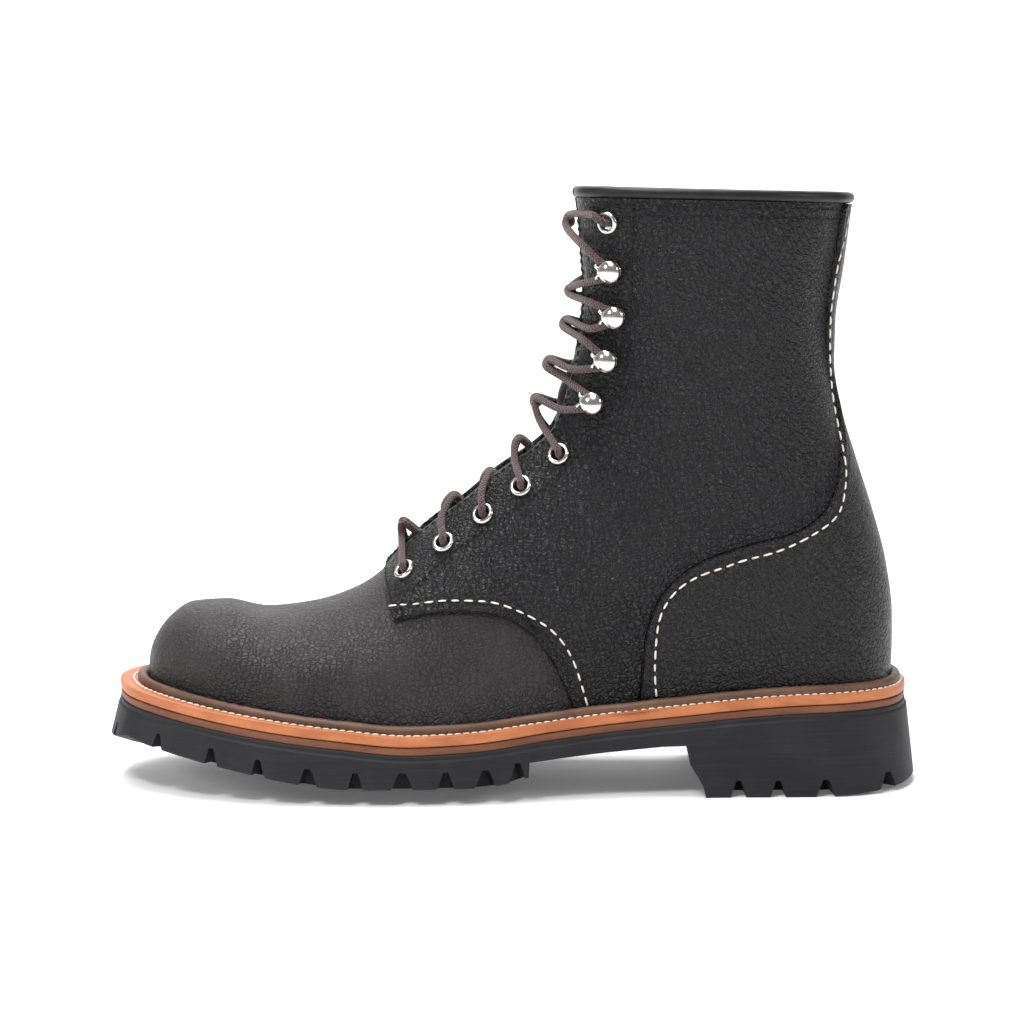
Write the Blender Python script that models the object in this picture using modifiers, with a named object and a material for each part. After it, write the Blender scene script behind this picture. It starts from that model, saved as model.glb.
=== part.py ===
"""Logger boot for the left foot: lug outsole, midsole, storm welt, insole, hollow upper, overlays, tongue,
collar roll, eyelets, hooks and lace crossings. Toe towards -X, outer side towards -Y, metres, +Z up."""
import math

import bmesh
import bpy
import numpy as np
from mathutils import Matrix, Vector

# Driving sizes of the foot and the upper
LAST_LENGTH = 0.2855
BALL_WIDTH = 0.0950
BOOT_HEIGHT = 0.2302
HEEL_STAND = 0.0328
INSTEP_GIRTH_SWELL = 0.00285
WALL = 0.0020
THROAT_GAP = 0.0190

# Overlays
CLEARANCE = 0.0003
OVERLAY = 0.0018
COUNTER_OVERLAY = 0.0035
COLLAR_ROLL = 0.0054

# Sole
TOE_LEDGE = 0.0113
SIDE_LEDGE = 0.0085
HEEL_LEDGE = 0.0102
RUBBER_FLARE = 0.0039
SIDE_FLARE = 0.0016
MIDSOLE = 0.0026
WELT = 0.0040
WELT_SEAT = 0.0070
BEAD_HEIGHT = 0.0030
BEAD_WIDTH = 0.0042
BEAD_CLEARANCE = 0.0008
INSOLE = 0.0030
INSOLE_CLEARANCE = 0.0013
TREAD_CROWN = 0.00496
WAIST_STEP = 0.0060
LUG_NOTCH_DEPTH = 0.0130
LUG_NOTCH_RISE = 0.0070
NOTCH_WIDTH = 0.0056
GROOVE = 0.0035
GROOVE_DEPTH = 0.0045
SOLE_STEP_DROP = 0.0020
SOLE_STEP_OUT = 0.0007

# Tongue
TONGUE = 0.0030
TONGUE_CLEARANCE = 0.0009

# Lacing
EYELET_OUTER = 0.0088
EYELET_HOLE = 0.0050
EYELET_HEIGHT = 0.0012
EYELET_SEAT = 0.0002
HOOK_DOME = 0.0088
HOOK_HEIGHT = 0.0066
HOOK_NECK = 0.0036
LACE = 0.0029
LACE_CLEARANCE = 0.0005

# Counts
LOW_COLUMNS = 3
HIGH_COLUMNS = 5
SOLE_STATIONS = 24
ROUND = 8

# Plan outline of the last: along as a share of LAST_LENGTH, sides as shares of half the ball width
OUTLINE = (
    # along, lateral, medial
    (0.000, -0.08, 0.08),
    (0.012, 0.25, 0.40),
    (0.036, 0.45, 0.61),
    (0.078, 0.65, 0.79),
    (0.130, 0.81, 0.915),
    (0.200, 0.937, 0.985),
    (0.270, 0.99, 1.00),
    (0.340, 1.00, 0.96),
    (0.430, 0.955, 0.81),
    (0.515, 0.85, 0.65),
    (0.600, 0.735, 0.58),
    (0.690, 0.66, 0.575),
    (0.780, 0.615, 0.590),
    (0.870, 0.60, 0.60),
    (0.930, 0.565, 0.565),
    (0.970, 0.45, 0.45),
    (0.990, 0.29, 0.29),
    (1.000, 0.00, 0.00),
)

# Side profile of the outsole's top: along as a share of the sole's length, height as a share of HEEL_STAND
SOLE_TOP = (
    # along, height
    (0.00, 1.010),
    (0.04, 0.965),
    (0.10, 0.885),
    (0.20, 0.753),
    (0.30, 0.646),
    (0.38, 0.583),
    (0.45, 0.605),
    (0.55, 0.710),
    (0.70, 0.850),
    (0.85, 0.966),
    (1.00, 1.000),
)

# Underside down the middle, the same shares
SOLE_BOTTOM = (
    # along, height
    (0.00, 0.520),
    (0.04, 0.410),
    (0.10, 0.300),
    (0.18, 0.160),
    (0.25, 0.050),
    (0.31, 0.000),
    (0.45, 0.000),
    (0.49, 0.030),
    (0.52, 0.100),
    (0.60, 0.000),
    (0.82, 0.000),
    (0.90, 0.015),
    (1.00, 0.085),
)

# Where the tread's crown ends, along as a share of the sole's length
CROWN_FADE = (
    # along, faded
    (0.00, 0.0),
    (0.52, 0.0),
    (0.56, 1.0),
    (1.00, 1.0),
)

# The crown is measured over at least this share of half the ball width, out to this share of the half width
CROWN_LEAST = 0.55
CROWN_REACH = 1.15

# The waist's hollow, from the forepart's end to the heel breast
WAIST_LINE = (
    # along, height
    (0.516, -0.300),
    (0.521, 0.470),
    (0.600, 0.540),
    (0.680, 0.605),
    (0.704, 0.610),
    (0.709, 0.400),
    (0.725, 0.140),
    (0.736, -0.300),
)

# Notches in the tread's edge: along as a share of LAST_LENGTH, size of NOTCH_WIDTH, reach of LUG_NOTCH_DEPTH
NOTCHES = (
    # along, size, reach
    (0.008, 0.9, 0.50),
    (0.055, 0.9, 0.80),
    (0.118, 1.0, 1.00),
    (0.175, 1.0, 1.00),
    (0.235, 1.3, 1.00),
    (0.295, 1.1, 1.00),
    (0.353, 1.5, 1.00),
    (0.408, 1.2, 1.00),
    (0.457, 1.5, 1.00),
    (0.498, 1.1, 1.00),
    (0.797, 1.1, 1.00),
    (0.850, 1.1, 1.00),
    (0.910, 1.3, 0.90),
    (0.972, 1.5, 0.55),
)
# A notch's section: how far its mouth, edge and root spread, and how high its inner end rises
NOTCH_MOUTH = 1.5
NOTCH_ROOT = 0.35
NOTCH_INNER = 0.7

# Grooves across the middle of the tread: along as a share of LAST_LENGTH, reach of the half width
CENTRE_GROOVES = (
    # along, reach
    (0.16, 0.50),
    (0.23, 0.60),
    (0.30, 0.65),
    (0.37, 0.65),
    (0.44, 0.55),
    (0.80, 0.45),
    (0.88, 0.45),
)

# Sections of the last from the toe to the collar
SECTIONS = (
    # back_along, climb, front_along, front_height, follow, half, widest, low, high, lean
    (0.0000, 0.000, 0.0000, 0.2020, 1.00, 0.98, 0.40, 1.30, 2.40, 0.08),
    (0.0030, 0.000, 0.0040, 0.2215, 1.00, 0.98, 0.40, 1.30, 2.40, 0.08),
    (0.0120, 0.000, 0.0140, 0.2485, 1.00, 0.98, 0.40, 1.30, 2.40, 0.08),
    (0.0290, 0.000, 0.0320, 0.2755, 1.00, 0.98, 0.38, 1.30, 2.40, 0.08),
    (0.0560, 0.000, 0.0595, 0.2945, 1.00, 0.98, 0.37, 1.30, 2.40, 0.08),
    (0.0980, 0.000, 0.1025, 0.2965, 1.00, 0.98, 0.36, 1.30, 2.35, 0.09),
    (0.1540, 0.000, 0.1585, 0.2830, 1.00, 0.98, 0.36, 1.30, 2.25, 0.10),
    (0.2180, 0.000, 0.2235, 0.2930, 1.00, 0.98, 0.35, 1.30, 2.10, 0.10),
    (0.2830, 0.000, 0.2880, 0.3220, 1.00, 0.98, 0.36, 1.30, 1.95, 0.10),
    (0.3440, 0.000, 0.3270, 0.3575, 0.80, 0.98, 0.38, 1.30, 1.85, 0.09),
    (0.4070, 0.000, 0.3550, 0.3900, 0.50, 0.94, 0.40, 1.30, 1.80, 0.08),
    (0.4910, 0.000, 0.3935, 0.4320, 0.25, 0.87, 0.43, 1.30, 1.80, 0.06),
    (0.5960, 0.000, 0.4390, 0.4735, 0.10, 0.79, 0.46, 1.30, 1.80, 0.04),
    (0.7080, 0.000, 0.4810, 0.5180, 0.00, 0.75, 0.49, 1.35, 1.85, 0.02),
    (0.8200, 0.000, 0.5222, 0.5525, 0.00, 0.735, 0.50, 1.45, 1.90, 0.00),
    (0.9120, 0.000, 0.5422, 0.5725, 0.00, 0.730, 0.50, 1.60, 1.95, 0.00),
    (0.9680, 0.000, 0.5566, 0.5915, 0.00, 0.730, 0.50, 1.85, 2.00, 0.00),
    (0.9930, 0.000, 0.5656, 0.6125, 0.00, 0.730, 0.50, 2.10, 2.05, 0.00),
    (1.0000, 0.000, 0.5716, 0.6320, 0.00, 0.727, 0.50, 2.70, 2.10, 0.00),
    (1.0030, 0.057, 0.5769, 0.6515, 0.00, 0.725, 0.50, 2.60, 2.15, 0.00),
    (1.0025, 0.113, 0.5814, 0.6710, 0.00, 0.725, 0.50, 2.50, 2.20, 0.00),
    (0.9940, 0.191, 0.5870, 0.6950, 0.00, 0.727, 0.50, 2.40, 2.20, 0.00),
    (0.9765, 0.274, 0.5923, 0.7255, 0.00, 0.732, 0.51, 2.30, 2.25, 0.00),
    (0.9530, 0.363, 0.5961, 0.7600, 0.00, 0.742, 0.52, 2.25, 2.30, 0.00),
    (0.9310, 0.452, 0.6000, 0.7990, 0.00, 0.757, 0.52, 2.20, 2.35, 0.00),
    (0.9195, 0.535, 0.6007, 0.8405, 0.00, 0.777, 0.52, 2.20, 2.40, 0.00),
    (0.9205, 0.609, 0.5979, 0.8860, 0.00, 0.805, 0.52, 2.20, 2.40, 0.00),
    (0.9300, 0.696, 0.5954, 0.9320, 0.00, 0.840, 0.52, 2.20, 2.40, 0.00),
    (0.9395, 0.7935, 0.5905, 0.9757, 0.00, 0.875, 0.52, 2.20, 2.40, 0.00),
)
SECTION_COLUMNS = ("back_along", "climb", "front_along", "front_height", "follow", "half", "widest",
                   "low", "high", "lean")
THROAT_ROW = 9.5
HEEL_END_ROW = 18
QUARTER_FIRST_ROW = 8
COUNTER_FIRST_ROW = 12
LAST_ROW = len(SECTIONS) - 1
# Rows of the surface's grid: every section, and halfway between where they fan round the heel
GRID_ROWS = sorted(list(range(LAST_ROW + 1)) + [k + 0.5 for k in range(COUNTER_FIRST_ROW, HEEL_END_ROW)])
# Width of the throat at the toe's and the collar's end, shares of THROAT_GAP
GAP_LOW = 0.86
GAP_HIGH = 1.16
# Share of the boot's height above which a border belongs to the collar
COLLAR_SHARE = 0.965
# Welding distance of the surface's grid
WELD = 0.00002

# Side-view edges of the overlays: along as a share of LAST_LENGTH, height as a share of BOOT_HEIGHT
QUARTER_FRONT = (
    # along, height
    (0.332, 0.420),
    (0.326, 0.360),
    (0.334, 0.318),
    (0.343, 0.288),
)
QUARTER_LOWER = (
    # along, height
    (0.343, 0.288),
    (0.391, 0.302),
    (0.443, 0.3055),
    (0.489, 0.296),
    (0.522, 0.272),
    (0.548, 0.233),
    (0.564, 0.191),
    (0.575, 0.150),
    (0.577, 0.100),
)
COUNTER_EDGE = (
    # along, height
    (0.667, 0.100),
    (0.668, 0.163),
    (0.671, 0.226),
    (0.678, 0.284),
    (0.700, 0.342),
    (0.746, 0.388),
    (0.811, 0.417),
    (0.877, 0.440),
    (0.915, 0.482),
    (0.931, 0.556),
    (0.928, 0.621),
    (0.911, 0.718),
    (0.9095, 0.815),
    (0.921, 0.912),
    (0.931, 1.020),
)
EDGE_STEPS = 2

# Lacing places in the side view, the same shares
EYELETS = ((0.3595, 0.3620), (0.410, 0.4070), (0.463, 0.4550), (0.5130, 0.5020), (0.5635, 0.5550),
           (0.6275, 0.9405))
BAR_PLACE = (0.3450, 0.3560)
HOOKS = ((0.612, 0.6431), (0.6305, 0.7165), (0.640, 0.7890), (0.635, 0.8630))

# Tongue: rise of its middle over the facing edges, a share of THROAT_GAP
TONGUE_RISE = (
    # row share, rise
    (0.34, 0.02),
    (0.42, 0.08),
    (0.52, 0.12),
    (0.60, 0.26),
    (0.68, 0.40),
    (0.80, 0.22),
    (0.90, -0.06),
    (1.00, -0.30),
)
TONGUE_START = 0.345
TONGUE_END = 0.965
TONGUE_REACH = 3

HALF_BALL = BALL_WIDTH / 2
SOLE_LENGTH = LAST_LENGTH + TOE_LEDGE + HEEL_LEDGE + 2 * RUBBER_FLARE
TOE_X = -SOLE_LENGTH / 2 + RUBBER_FLARE + TOE_LEDGE
SOLE_TOE_X = -SOLE_LENGTH / 2
FEATHER_RISE = MIDSOLE + WELT + 2 * CLEARANCE + CLEARANCE


def smooth(table, column, at):
    """Read a table's column at a key by a monotone cubic through its rows."""
    keys = np.array([row[0] for row in table], float)
    values = np.array([row[column] for row in table], float)
    return monotone(keys, values, at)


def monotone(keys, values, at):
    """Interpolate without overshoot."""
    step = np.diff(keys)
    slope = np.diff(values) / step
    tangent = np.zeros(len(values))
    tangent[0] = slope[0]
    tangent[-1] = slope[-1]
    for k in range(1, len(values) - 1):
        if slope[k - 1] * slope[k] > 0:
            before = 2 * step[k] + step[k - 1]
            after = step[k] + 2 * step[k - 1]
            tangent[k] = (before + after) / (before / slope[k - 1] + after / slope[k])
    at = np.clip(np.asarray(at, float), keys[0], keys[-1])
    k = np.clip(np.searchsorted(keys, at) - 1, 0, len(step) - 1)
    u = (at - keys[k]) / step[k]
    return (values[k] * (1 + 2 * u) * (1 - u) ** 2 + values[k + 1] * u * u * (3 - 2 * u)
            + step[k] * (tangent[k] * u * (1 - u) ** 2 - tangent[k + 1] * u * u * (1 - u)))


def curve_through(points, steps, closed=False):
    """Catmull-Rom curve through points, with steps on each span."""
    count = len(points)
    spans = count if closed else count - 1
    result = []
    for k in range(spans):
        if closed:
            p = [np.array(points[(k + j - 1) % count], float) for j in range(4)]
        else:
            p = [np.array(points[min(max(k + j - 1, 0), count - 1)], float) for j in range(4)]
        for j in range(steps):
            u = j / steps
            result.append(0.5 * (2 * p[1] + (p[2] - p[0]) * u
                                 + (2 * p[0] - 5 * p[1] + 4 * p[2] - p[3]) * u ** 2
                                 + (3 * p[1] - p[0] - 3 * p[2] + p[3]) * u ** 3))
    if not closed:
        result.append(np.array(points[-1], float))
    return np.array(result)


class Outline:
    """The feather line seen from above, with its two sides as functions of the share along the last."""

    def __init__(self):
        lateral = [(row[0] * LAST_LENGTH, -row[1] * HALF_BALL) for row in OUTLINE]
        medial = [(row[0] * LAST_LENGTH, row[2] * HALF_BALL) for row in OUTLINE[-2:0:-1]]
        loop = curve_through(lateral + medial, 24, closed=True)
        turn = (len(OUTLINE) - 1) * 24
        self.sides = {-1: loop[:turn + 1], 1: np.vstack([loop[:1], loop[:turn - 1:-1]])}
        widest = [np.max(-self.sides[-1][:, 1]), np.max(self.sides[1][:, 1])]
        for side in self.sides:
            self.sides[side] = self.sides[side] + np.array([TOE_X, (widest[0] - widest[1]) / 2])

    def y(self, side, x):
        """Half-width coordinate of one side at x."""
        line = self.sides[side]
        return np.interp(x, line[:, 0], line[:, 1])

    def edge(self, side, along, outward):
        """Point of one side at a share along, moved outward in plan."""
        line = self.sides[side]
        x = TOE_X + along * LAST_LENGTH
        slope = np.gradient(line, axis=0)
        k = np.clip(np.searchsorted(line[:, 0], x), 1, len(line) - 1)
        share = (x - line[k - 1, 0]) / max(line[k, 0] - line[k - 1, 0], 1e-9)
        point = line[k - 1] * (1 - share) + line[k] * share
        tangent = slope[k - 1] * (1 - share) + slope[k] * share
        if along <= 0 or along >= 1:
            tangent = np.array([0.0, side if along <= 0 else -side])
        tangent = tangent / np.linalg.norm(tangent)
        normal = np.array([-tangent[1], tangent[0]]) * side
        return point + normal * outward


OUTLINE_SHAPE = Outline()


def sole_top(x):
    """Height of the outsole's top at x."""
    return HEEL_STAND * smooth(SOLE_TOP, 1, (x - SOLE_TOE_X) / SOLE_LENGTH)


def feather_height(x):
    """Height at which the upper meets the welt."""
    return sole_top(x) + FEATHER_RISE


def ledge(along):
    """Width of the sole outside the last."""
    rows = ((0.0, TOE_LEDGE), (0.12, (TOE_LEDGE + SIDE_LEDGE) / 2), (0.3, SIDE_LEDGE), (0.55, SIDE_LEDGE),
            (0.75, HEEL_LEDGE), (1.0, HEEL_LEDGE))
    return float(smooth(rows, 1, along))


def flare(along):
    """Outward lean of the rubber at its bottom."""
    rows = ((0.0, RUBBER_FLARE), (0.15, SIDE_FLARE), (0.85, SIDE_FLARE), (1.0, RUBBER_FLARE))
    return float(smooth(rows, 1, along))


def upper_thickness(along):
    """Thickness of the overlays that stand outside the last at the welt."""
    quarter = CLEARANCE + OVERLAY
    counter = CLEARANCE + COUNTER_OVERLAY
    rows = ((0.0, 0.0), (0.50, 0.0), (0.56, quarter), (0.60, quarter), (0.655, counter), (1.0, counter))
    return float(smooth(rows, 1, along))


def last_point(t, phi, side):
    """Point of the last's surface. t runs 0 to 1 from toe to collar, phi 0 to 1 from the feather line or
    the back centre to the ridge or the facing edge. Takes arrays."""
    t = np.asarray(t, float)
    phi = np.asarray(phi, float)
    row = t * LAST_ROW
    keys = np.arange(len(SECTIONS), dtype=float)
    value = {name: monotone(keys, np.array([s[k] for s in SECTIONS]), row)
             for k, name in enumerate(SECTION_COLUMNS)}
    bx = TOE_X + value["back_along"] * LAST_LENGTH
    on_foot = row <= HEEL_END_ROW + 1e-9
    lateral = OUTLINE_SHAPE.y(-1, bx)
    medial = OUTLINE_SHAPE.y(1, bx)
    feather = np.where(on_foot, (medial - lateral) / 2, 0.0)
    centre = np.where(on_foot, (medial + lateral) / 2, 0.0)
    bz = feather_height(bx) + value["climb"] * BOOT_HEIGHT
    fx = TOE_X + value["front_along"] * LAST_LENGTH
    fz = value["front_height"] * BOOT_HEIGHT
    half = (value["follow"] * feather * (1 + INSTEP_GIRTH_SWELL / HALF_BALL)
            + (1 - value["follow"]) * value["half"] * HALF_BALL)
    gap = np.where(row > THROAT_ROW, THROAT_GAP * (GAP_LOW + (GAP_HIGH - GAP_LOW) * t) / 2, 0.0)
    split = LOW_COLUMNS / (LOW_COLUMNS + HIGH_COLUMNS)
    low = phi < split
    angle_low = (1 - np.clip(phi / split, 0, 1)) * math.pi / 2
    angle_high = np.clip((phi - split) / (1 - split), 0, 1) * math.pi / 2
    c_low = np.maximum(np.cos(angle_low), 0) ** (2 / value["low"])
    s_low = np.maximum(np.sin(angle_low), 0) ** (2 / value["low"])
    c_high = np.maximum(np.cos(angle_high), 0) ** (2 / value["high"])
    s_high = np.maximum(np.sin(angle_high), 0) ** (2 / value["high"])
    widest = value["widest"]
    q = np.where(low, widest * (1 - s_low), widest + (1 - widest) * s_high)
    width = np.where(low, feather + (half - feather) * c_low, gap + (half - gap) * c_high)
    middle = centre * (1 - q) ** 2 + value["lean"] * HALF_BALL * (1 - (1 - q) ** 2)
    return np.stack([bx + (fx - bx) * q, middle + side * width, bz + (fz - bz) * q], axis=-1)


def last_normal(t, phi, side):
    """Outward unit normal of the last's surface by small differences."""
    e = 0.002
    t0, t1 = max(t - e, 0), min(t + e, 1)
    p0, p1 = max(phi - e, 0), min(phi + e, 1)
    along = last_point(t1, phi, side) - last_point(t0, phi, side)
    round_ = last_point(t, p1, side) - last_point(t, p0, side)
    normal = np.cross(round_, along) * side
    return normal / np.linalg.norm(normal)


def locate(along, height, side):
    """Find t and phi of the surface point seen in the side view at the given shares."""
    x = TOE_X + along * LAST_LENGTH
    z = height * BOOT_HEIGHT
    t0, t1, p0, p1 = 0.0, 1.0, 0.42, 1.0
    for _ in range(4):
        t, p = np.meshgrid(np.linspace(t0, t1, 61), np.linspace(p0, p1, 31), indexing="ij")
        points = last_point(t, p, side)
        error = (points[..., 0] - x) ** 2 + (points[..., 2] - z) ** 2
        k = np.unravel_index(np.argmin(error), error.shape)
        dt, dp = (t1 - t0) / 20, (p1 - p0) / 20
        t0, t1 = max(t[k] - dt, 0), min(t[k] + dt, 1)
        p0, p1 = max(p[k] - dp, 0), min(p[k] + dp, 1)
    return float(t[k]), float(p[k])


def collection(name):
    """Make a collection under the scene."""
    made = bpy.data.collections.new(name)
    bpy.context.scene.collection.children.link(made)
    return made


def material(name, colour, roughness, metallic=0.0):
    """Make a Principled material."""
    made = bpy.data.materials.new(name)
    made.use_nodes = True
    shader = made.node_tree.nodes["Principled BSDF"]
    shader.inputs["Base Color"].default_value = (*colour, 1.0)
    shader.inputs["Roughness"].default_value = roughness
    shader.inputs["Metallic"].default_value = metallic
    return made


def add(name, mesh, group, finish=None, flat=False):
    """Put a mesh in a collection as a named object."""
    made = bpy.data.objects.new(name, mesh)
    group.objects.link(made)
    if finish:
        mesh.materials.clear()
        mesh.materials.append(finish)
    if not flat:
        mesh.shade_smooth()
        mesh.set_sharp_from_angle(angle=math.radians(35))
    return made


def add_cutter(name, mesh, group):
    """Put a cutter in its collection, out of sight."""
    made = add(name, mesh, group, flat=True)
    made.display_type = "WIRE"
    made.hide_render = True
    return made


def grid_mesh(name, rows, weld=1e-6, close_rows=False):
    """Skin a grid of points and weld what coincides."""
    build = bmesh.new()
    made = [[build.verts.new(Vector(p)) for p in row] for row in rows]
    count = len(made) if close_rows else len(made) - 1
    for i in range(count):
        first, second = made[i], made[(i + 1) % len(made)]
        for j in range(len(first) - 1):
            build.faces.new((first[j], second[j], second[j + 1], first[j + 1]))
    bmesh.ops.remove_doubles(build, verts=build.verts, dist=weld)
    bmesh.ops.dissolve_degenerate(build, edges=build.edges, dist=weld)
    bmesh.ops.recalc_face_normals(build, faces=build.faces)
    mesh = bpy.data.meshes.new(name)
    build.to_mesh(mesh)
    build.free()
    return mesh


def prism_mesh(name, outline, y0, y1, bow=None):
    """Extrude a side-view outline between two planes across the boot."""
    build = bmesh.new()
    slices = np.linspace(y0, y1, 2 if bow is None else 9)
    loops = []
    for y in slices:
        shift = 0.0 if bow is None else bow(y)
        loops.append([build.verts.new((x + shift * w, y, z)) for x, z, w in outline])
    for a, b in zip(loops[:-1], loops[1:]):
        for k in range(len(a)):
            j = (k + 1) % len(a)
            build.faces.new((a[k], a[j], b[j], b[k]))
    build.faces.new(loops[0])
    build.faces.new(loops[-1])
    bmesh.ops.recalc_face_normals(build, faces=build.faces)
    mesh = bpy.data.meshes.new(name)
    build.to_mesh(mesh)
    build.free()
    return mesh


def boolean(target, cutter, operation):
    """Add an exact Boolean."""
    modifier = target.modifiers.new(operation.title(), "BOOLEAN")
    modifier.operation = operation
    modifier.solver = "EXACT"
    modifier.object = cutter
    return modifier


def last_shell(name, sides, low, high, first_row=0):
    """Closed shell of the last's surface between two distances along its normals. The whole surface is made
    first, so that all shells share its facets, and the sides and rows that aren't wanted go. Its lower and
    upper borders move level, so that they stay on the feather line and the collar line."""
    columns = LOW_COLUMNS + HIGH_COLUMNS
    phis = np.linspace(0, 1, columns + 1)
    build = bmesh.new()
    side_layer = build.faces.layers.int.new("side")
    row_layer = build.faces.layers.float.new("row")
    for side in (-1, 1):
        rows = []
        for row in GRID_ROWS:
            points = last_point(np.full(columns + 1, row / LAST_ROW), phis, side)
            rows.append([build.verts.new(Vector(p)) for p in points])
        for row, a, b in zip(GRID_ROWS, rows[:-1], rows[1:]):
            for j in range(columns):
                corners = (a[j], b[j], b[j + 1], a[j + 1])
                face = build.faces.new(corners[::-1] if side > 0 else corners)
                face[side_layer] = side
                face[row_layer] = row
    bmesh.ops.remove_doubles(build, verts=build.verts, dist=WELD)
    bmesh.ops.dissolve_degenerate(build, edges=build.edges, dist=WELD)
    bmesh.ops.triangulate(build, faces=build.faces, quad_method="SHORT_EDGE")
    twins = {}
    for face in build.faces:
        twins.setdefault(frozenset(face.verts), []).append(face)
    folded = [face for pair in twins.values() if len(pair) > 1 for face in pair]
    bmesh.ops.delete(build, geom=folded, context="FACES")
    build.normal_update()
    if sum(f.normal.y * f[side_layer] for f in build.faces) < 0:
        bmesh.ops.reverse_faces(build, faces=build.faces)
        build.normal_update()
    outward = {}
    for vert in build.verts:
        normal = vert.normal.copy()
        if vert.is_boundary and (vert.co.z < BOOT_HEIGHT / 4 or vert.co.z > BOOT_HEIGHT * COLLAR_SHARE):
            normal.z = 0
        outward[vert] = normal.normalized()
    spare = [f for f in build.faces if f[side_layer] not in sides or f[row_layer] < first_row]
    bmesh.ops.delete(build, geom=spare, context="FACES")
    verts = list(build.verts)
    faces = [tuple(f.verts) for f in build.faces]
    loops = [e.link_loops[0] for e in build.edges if e.is_boundary]
    border = [(loop.vert, loop.link_loop_next.vert) for loop in loops]
    inner = {v: build.verts.new(v.co + outward[v] * low) for v in verts}
    for vert in verts:
        vert.co += outward[vert] * high
    for corners in faces:
        build.faces.new([inner[v] for v in corners[::-1]])
    for first, second in border:
        build.faces.new((second, first, inner[first], inner[second]))
    return to_mesh(name, build)


def to_mesh(name, build):
    """Turn a bmesh into a mesh and free it."""
    mesh = bpy.data.meshes.new(name)
    build.to_mesh(mesh)
    build.free()
    return mesh


def side_shares(points):
    """Turn shares into side-view places."""
    return [(TOE_X + a * LAST_LENGTH, h * BOOT_HEIGHT) for a, h in points]


def offset_line(points, distance):
    """Move a side-view line to its left by a distance."""
    line = np.array(points)
    tangent = np.gradient(line, axis=0)
    tangent /= np.linalg.norm(tangent, axis=1)[:, None]
    return line + np.stack([-tangent[:, 1], tangent[:, 0]], axis=1) * distance


def feather_line(x0, x1, steps=14):
    """Side-view line of the feather edge between two x places."""
    return [(x, float(feather_height(x))) for x in np.linspace(x0, x1, steps)]


def quarter_outline():
    """Side-view outline of a quarter, up to the counter with a clearance."""
    front = side_shares(QUARTER_FRONT)
    lower = curve_through(side_shares(QUARTER_LOWER), EDGE_STEPS)
    counter = offset_line(curve_through(side_shares(COUNTER_EDGE), EDGE_STEPS), CLEARANCE)
    low = [p for p in lower if p[1] > feather_height(p[0]) + CLEARANCE]
    high = [p for p in counter if p[1] > feather_height(p[0]) + CLEARANCE]
    base = feather_line(low[-1][0] + CLEARANCE, high[0][0] - CLEARANCE, 5)
    top = [(high[-1][0], BOOT_HEIGHT * 1.1), (TOE_X + 0.2 * LAST_LENGTH, BOOT_HEIGHT * 1.1),
           (TOE_X + 0.2 * LAST_LENGTH, BOOT_HEIGHT * 0.5)]
    return [tuple(p) for p in front] + [tuple(p) for p in low[1:]] + base + [tuple(p) for p in high] + top


def counter_outline():
    """Side-view outline of the counter with its backstay."""
    edge = curve_through(side_shares(COUNTER_EDGE), EDGE_STEPS)
    high = [tuple(p) for p in edge if p[1] > feather_height(p[0]) + CLEARANCE]
    far = TOE_X + LAST_LENGTH * 1.08
    base = feather_line(far, high[0][0] + CLEARANCE, 10)
    return high + [(high[-1][0], BOOT_HEIGHT * 1.1), (far, BOOT_HEIGHT * 1.1)] + base


def make_upper(group, finishes):
    """Hollow wall of vamp and shaft, open underneath, at the throat and at the collar."""
    add("upper", last_shell("upper", (-1, 1), -WALL, 0.0), group, finishes["leather"])


def make_quarter(name, side, group, cutters, finishes):
    """One laced side, cut from the shell over the last."""
    mesh = last_shell(name, (side,), CLEARANCE, CLEARANCE + OVERLAY, QUARTER_FIRST_ROW)
    shell = add(name, mesh, group, finishes["quarter"])
    outline = [(x, z, 0.0) for x, z in quarter_outline()]
    inner, outer = THROAT_GAP * 0.4, BALL_WIDTH
    cutter = add_cutter(name + "_pattern", prism_mesh(name, outline, *sorted((side * inner, side * outer))),
                        cutters)
    boolean(shell, cutter, "INTERSECT")


def make_counter(group, cutters, finishes):
    """Heel counter and backstay in one piece round the back."""
    mesh = last_shell("counter", (-1, 1), CLEARANCE, CLEARANCE + COUNTER_OVERLAY, COUNTER_FIRST_ROW)
    shell = add("counter", mesh, group, finishes["counter"])
    outline = [(x, z, 0.0) for x, z in counter_outline()]
    cutter = add_cutter("counter_pattern", prism_mesh("counter_pattern", outline, -BALL_WIDTH, BALL_WIDTH),
                        cutters)
    boolean(shell, cutter, "INTERSECT")


def tube_mesh(name, points, radius, resolution=2):
    """Mesh of a round cord or roll through points, with its caps welded."""
    curve = bpy.data.curves.new(name, "CURVE")
    curve.dimensions = "3D"
    curve.bevel_depth = radius
    curve.bevel_resolution = resolution
    curve.use_fill_caps = True
    spline = curve.splines.new("POLY")
    spline.points.add(len(points) - 1)
    for place, point in zip(points, spline.points):
        point.co = (*place, 1.0)
    guide = bpy.data.objects.new(name, curve)
    bpy.context.scene.collection.objects.link(guide)
    evaluated = guide.evaluated_get(bpy.context.evaluated_depsgraph_get())
    mesh = bpy.data.meshes.new_from_object(evaluated)
    bpy.data.objects.remove(guide)
    bpy.data.curves.remove(curve)
    build = bmesh.new()
    build.from_mesh(mesh)
    bmesh.ops.remove_doubles(build, verts=build.verts, dist=1e-5)
    bmesh.ops.recalc_face_normals(build, faces=build.faces)
    build.to_mesh(mesh)
    build.free()
    return mesh


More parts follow.
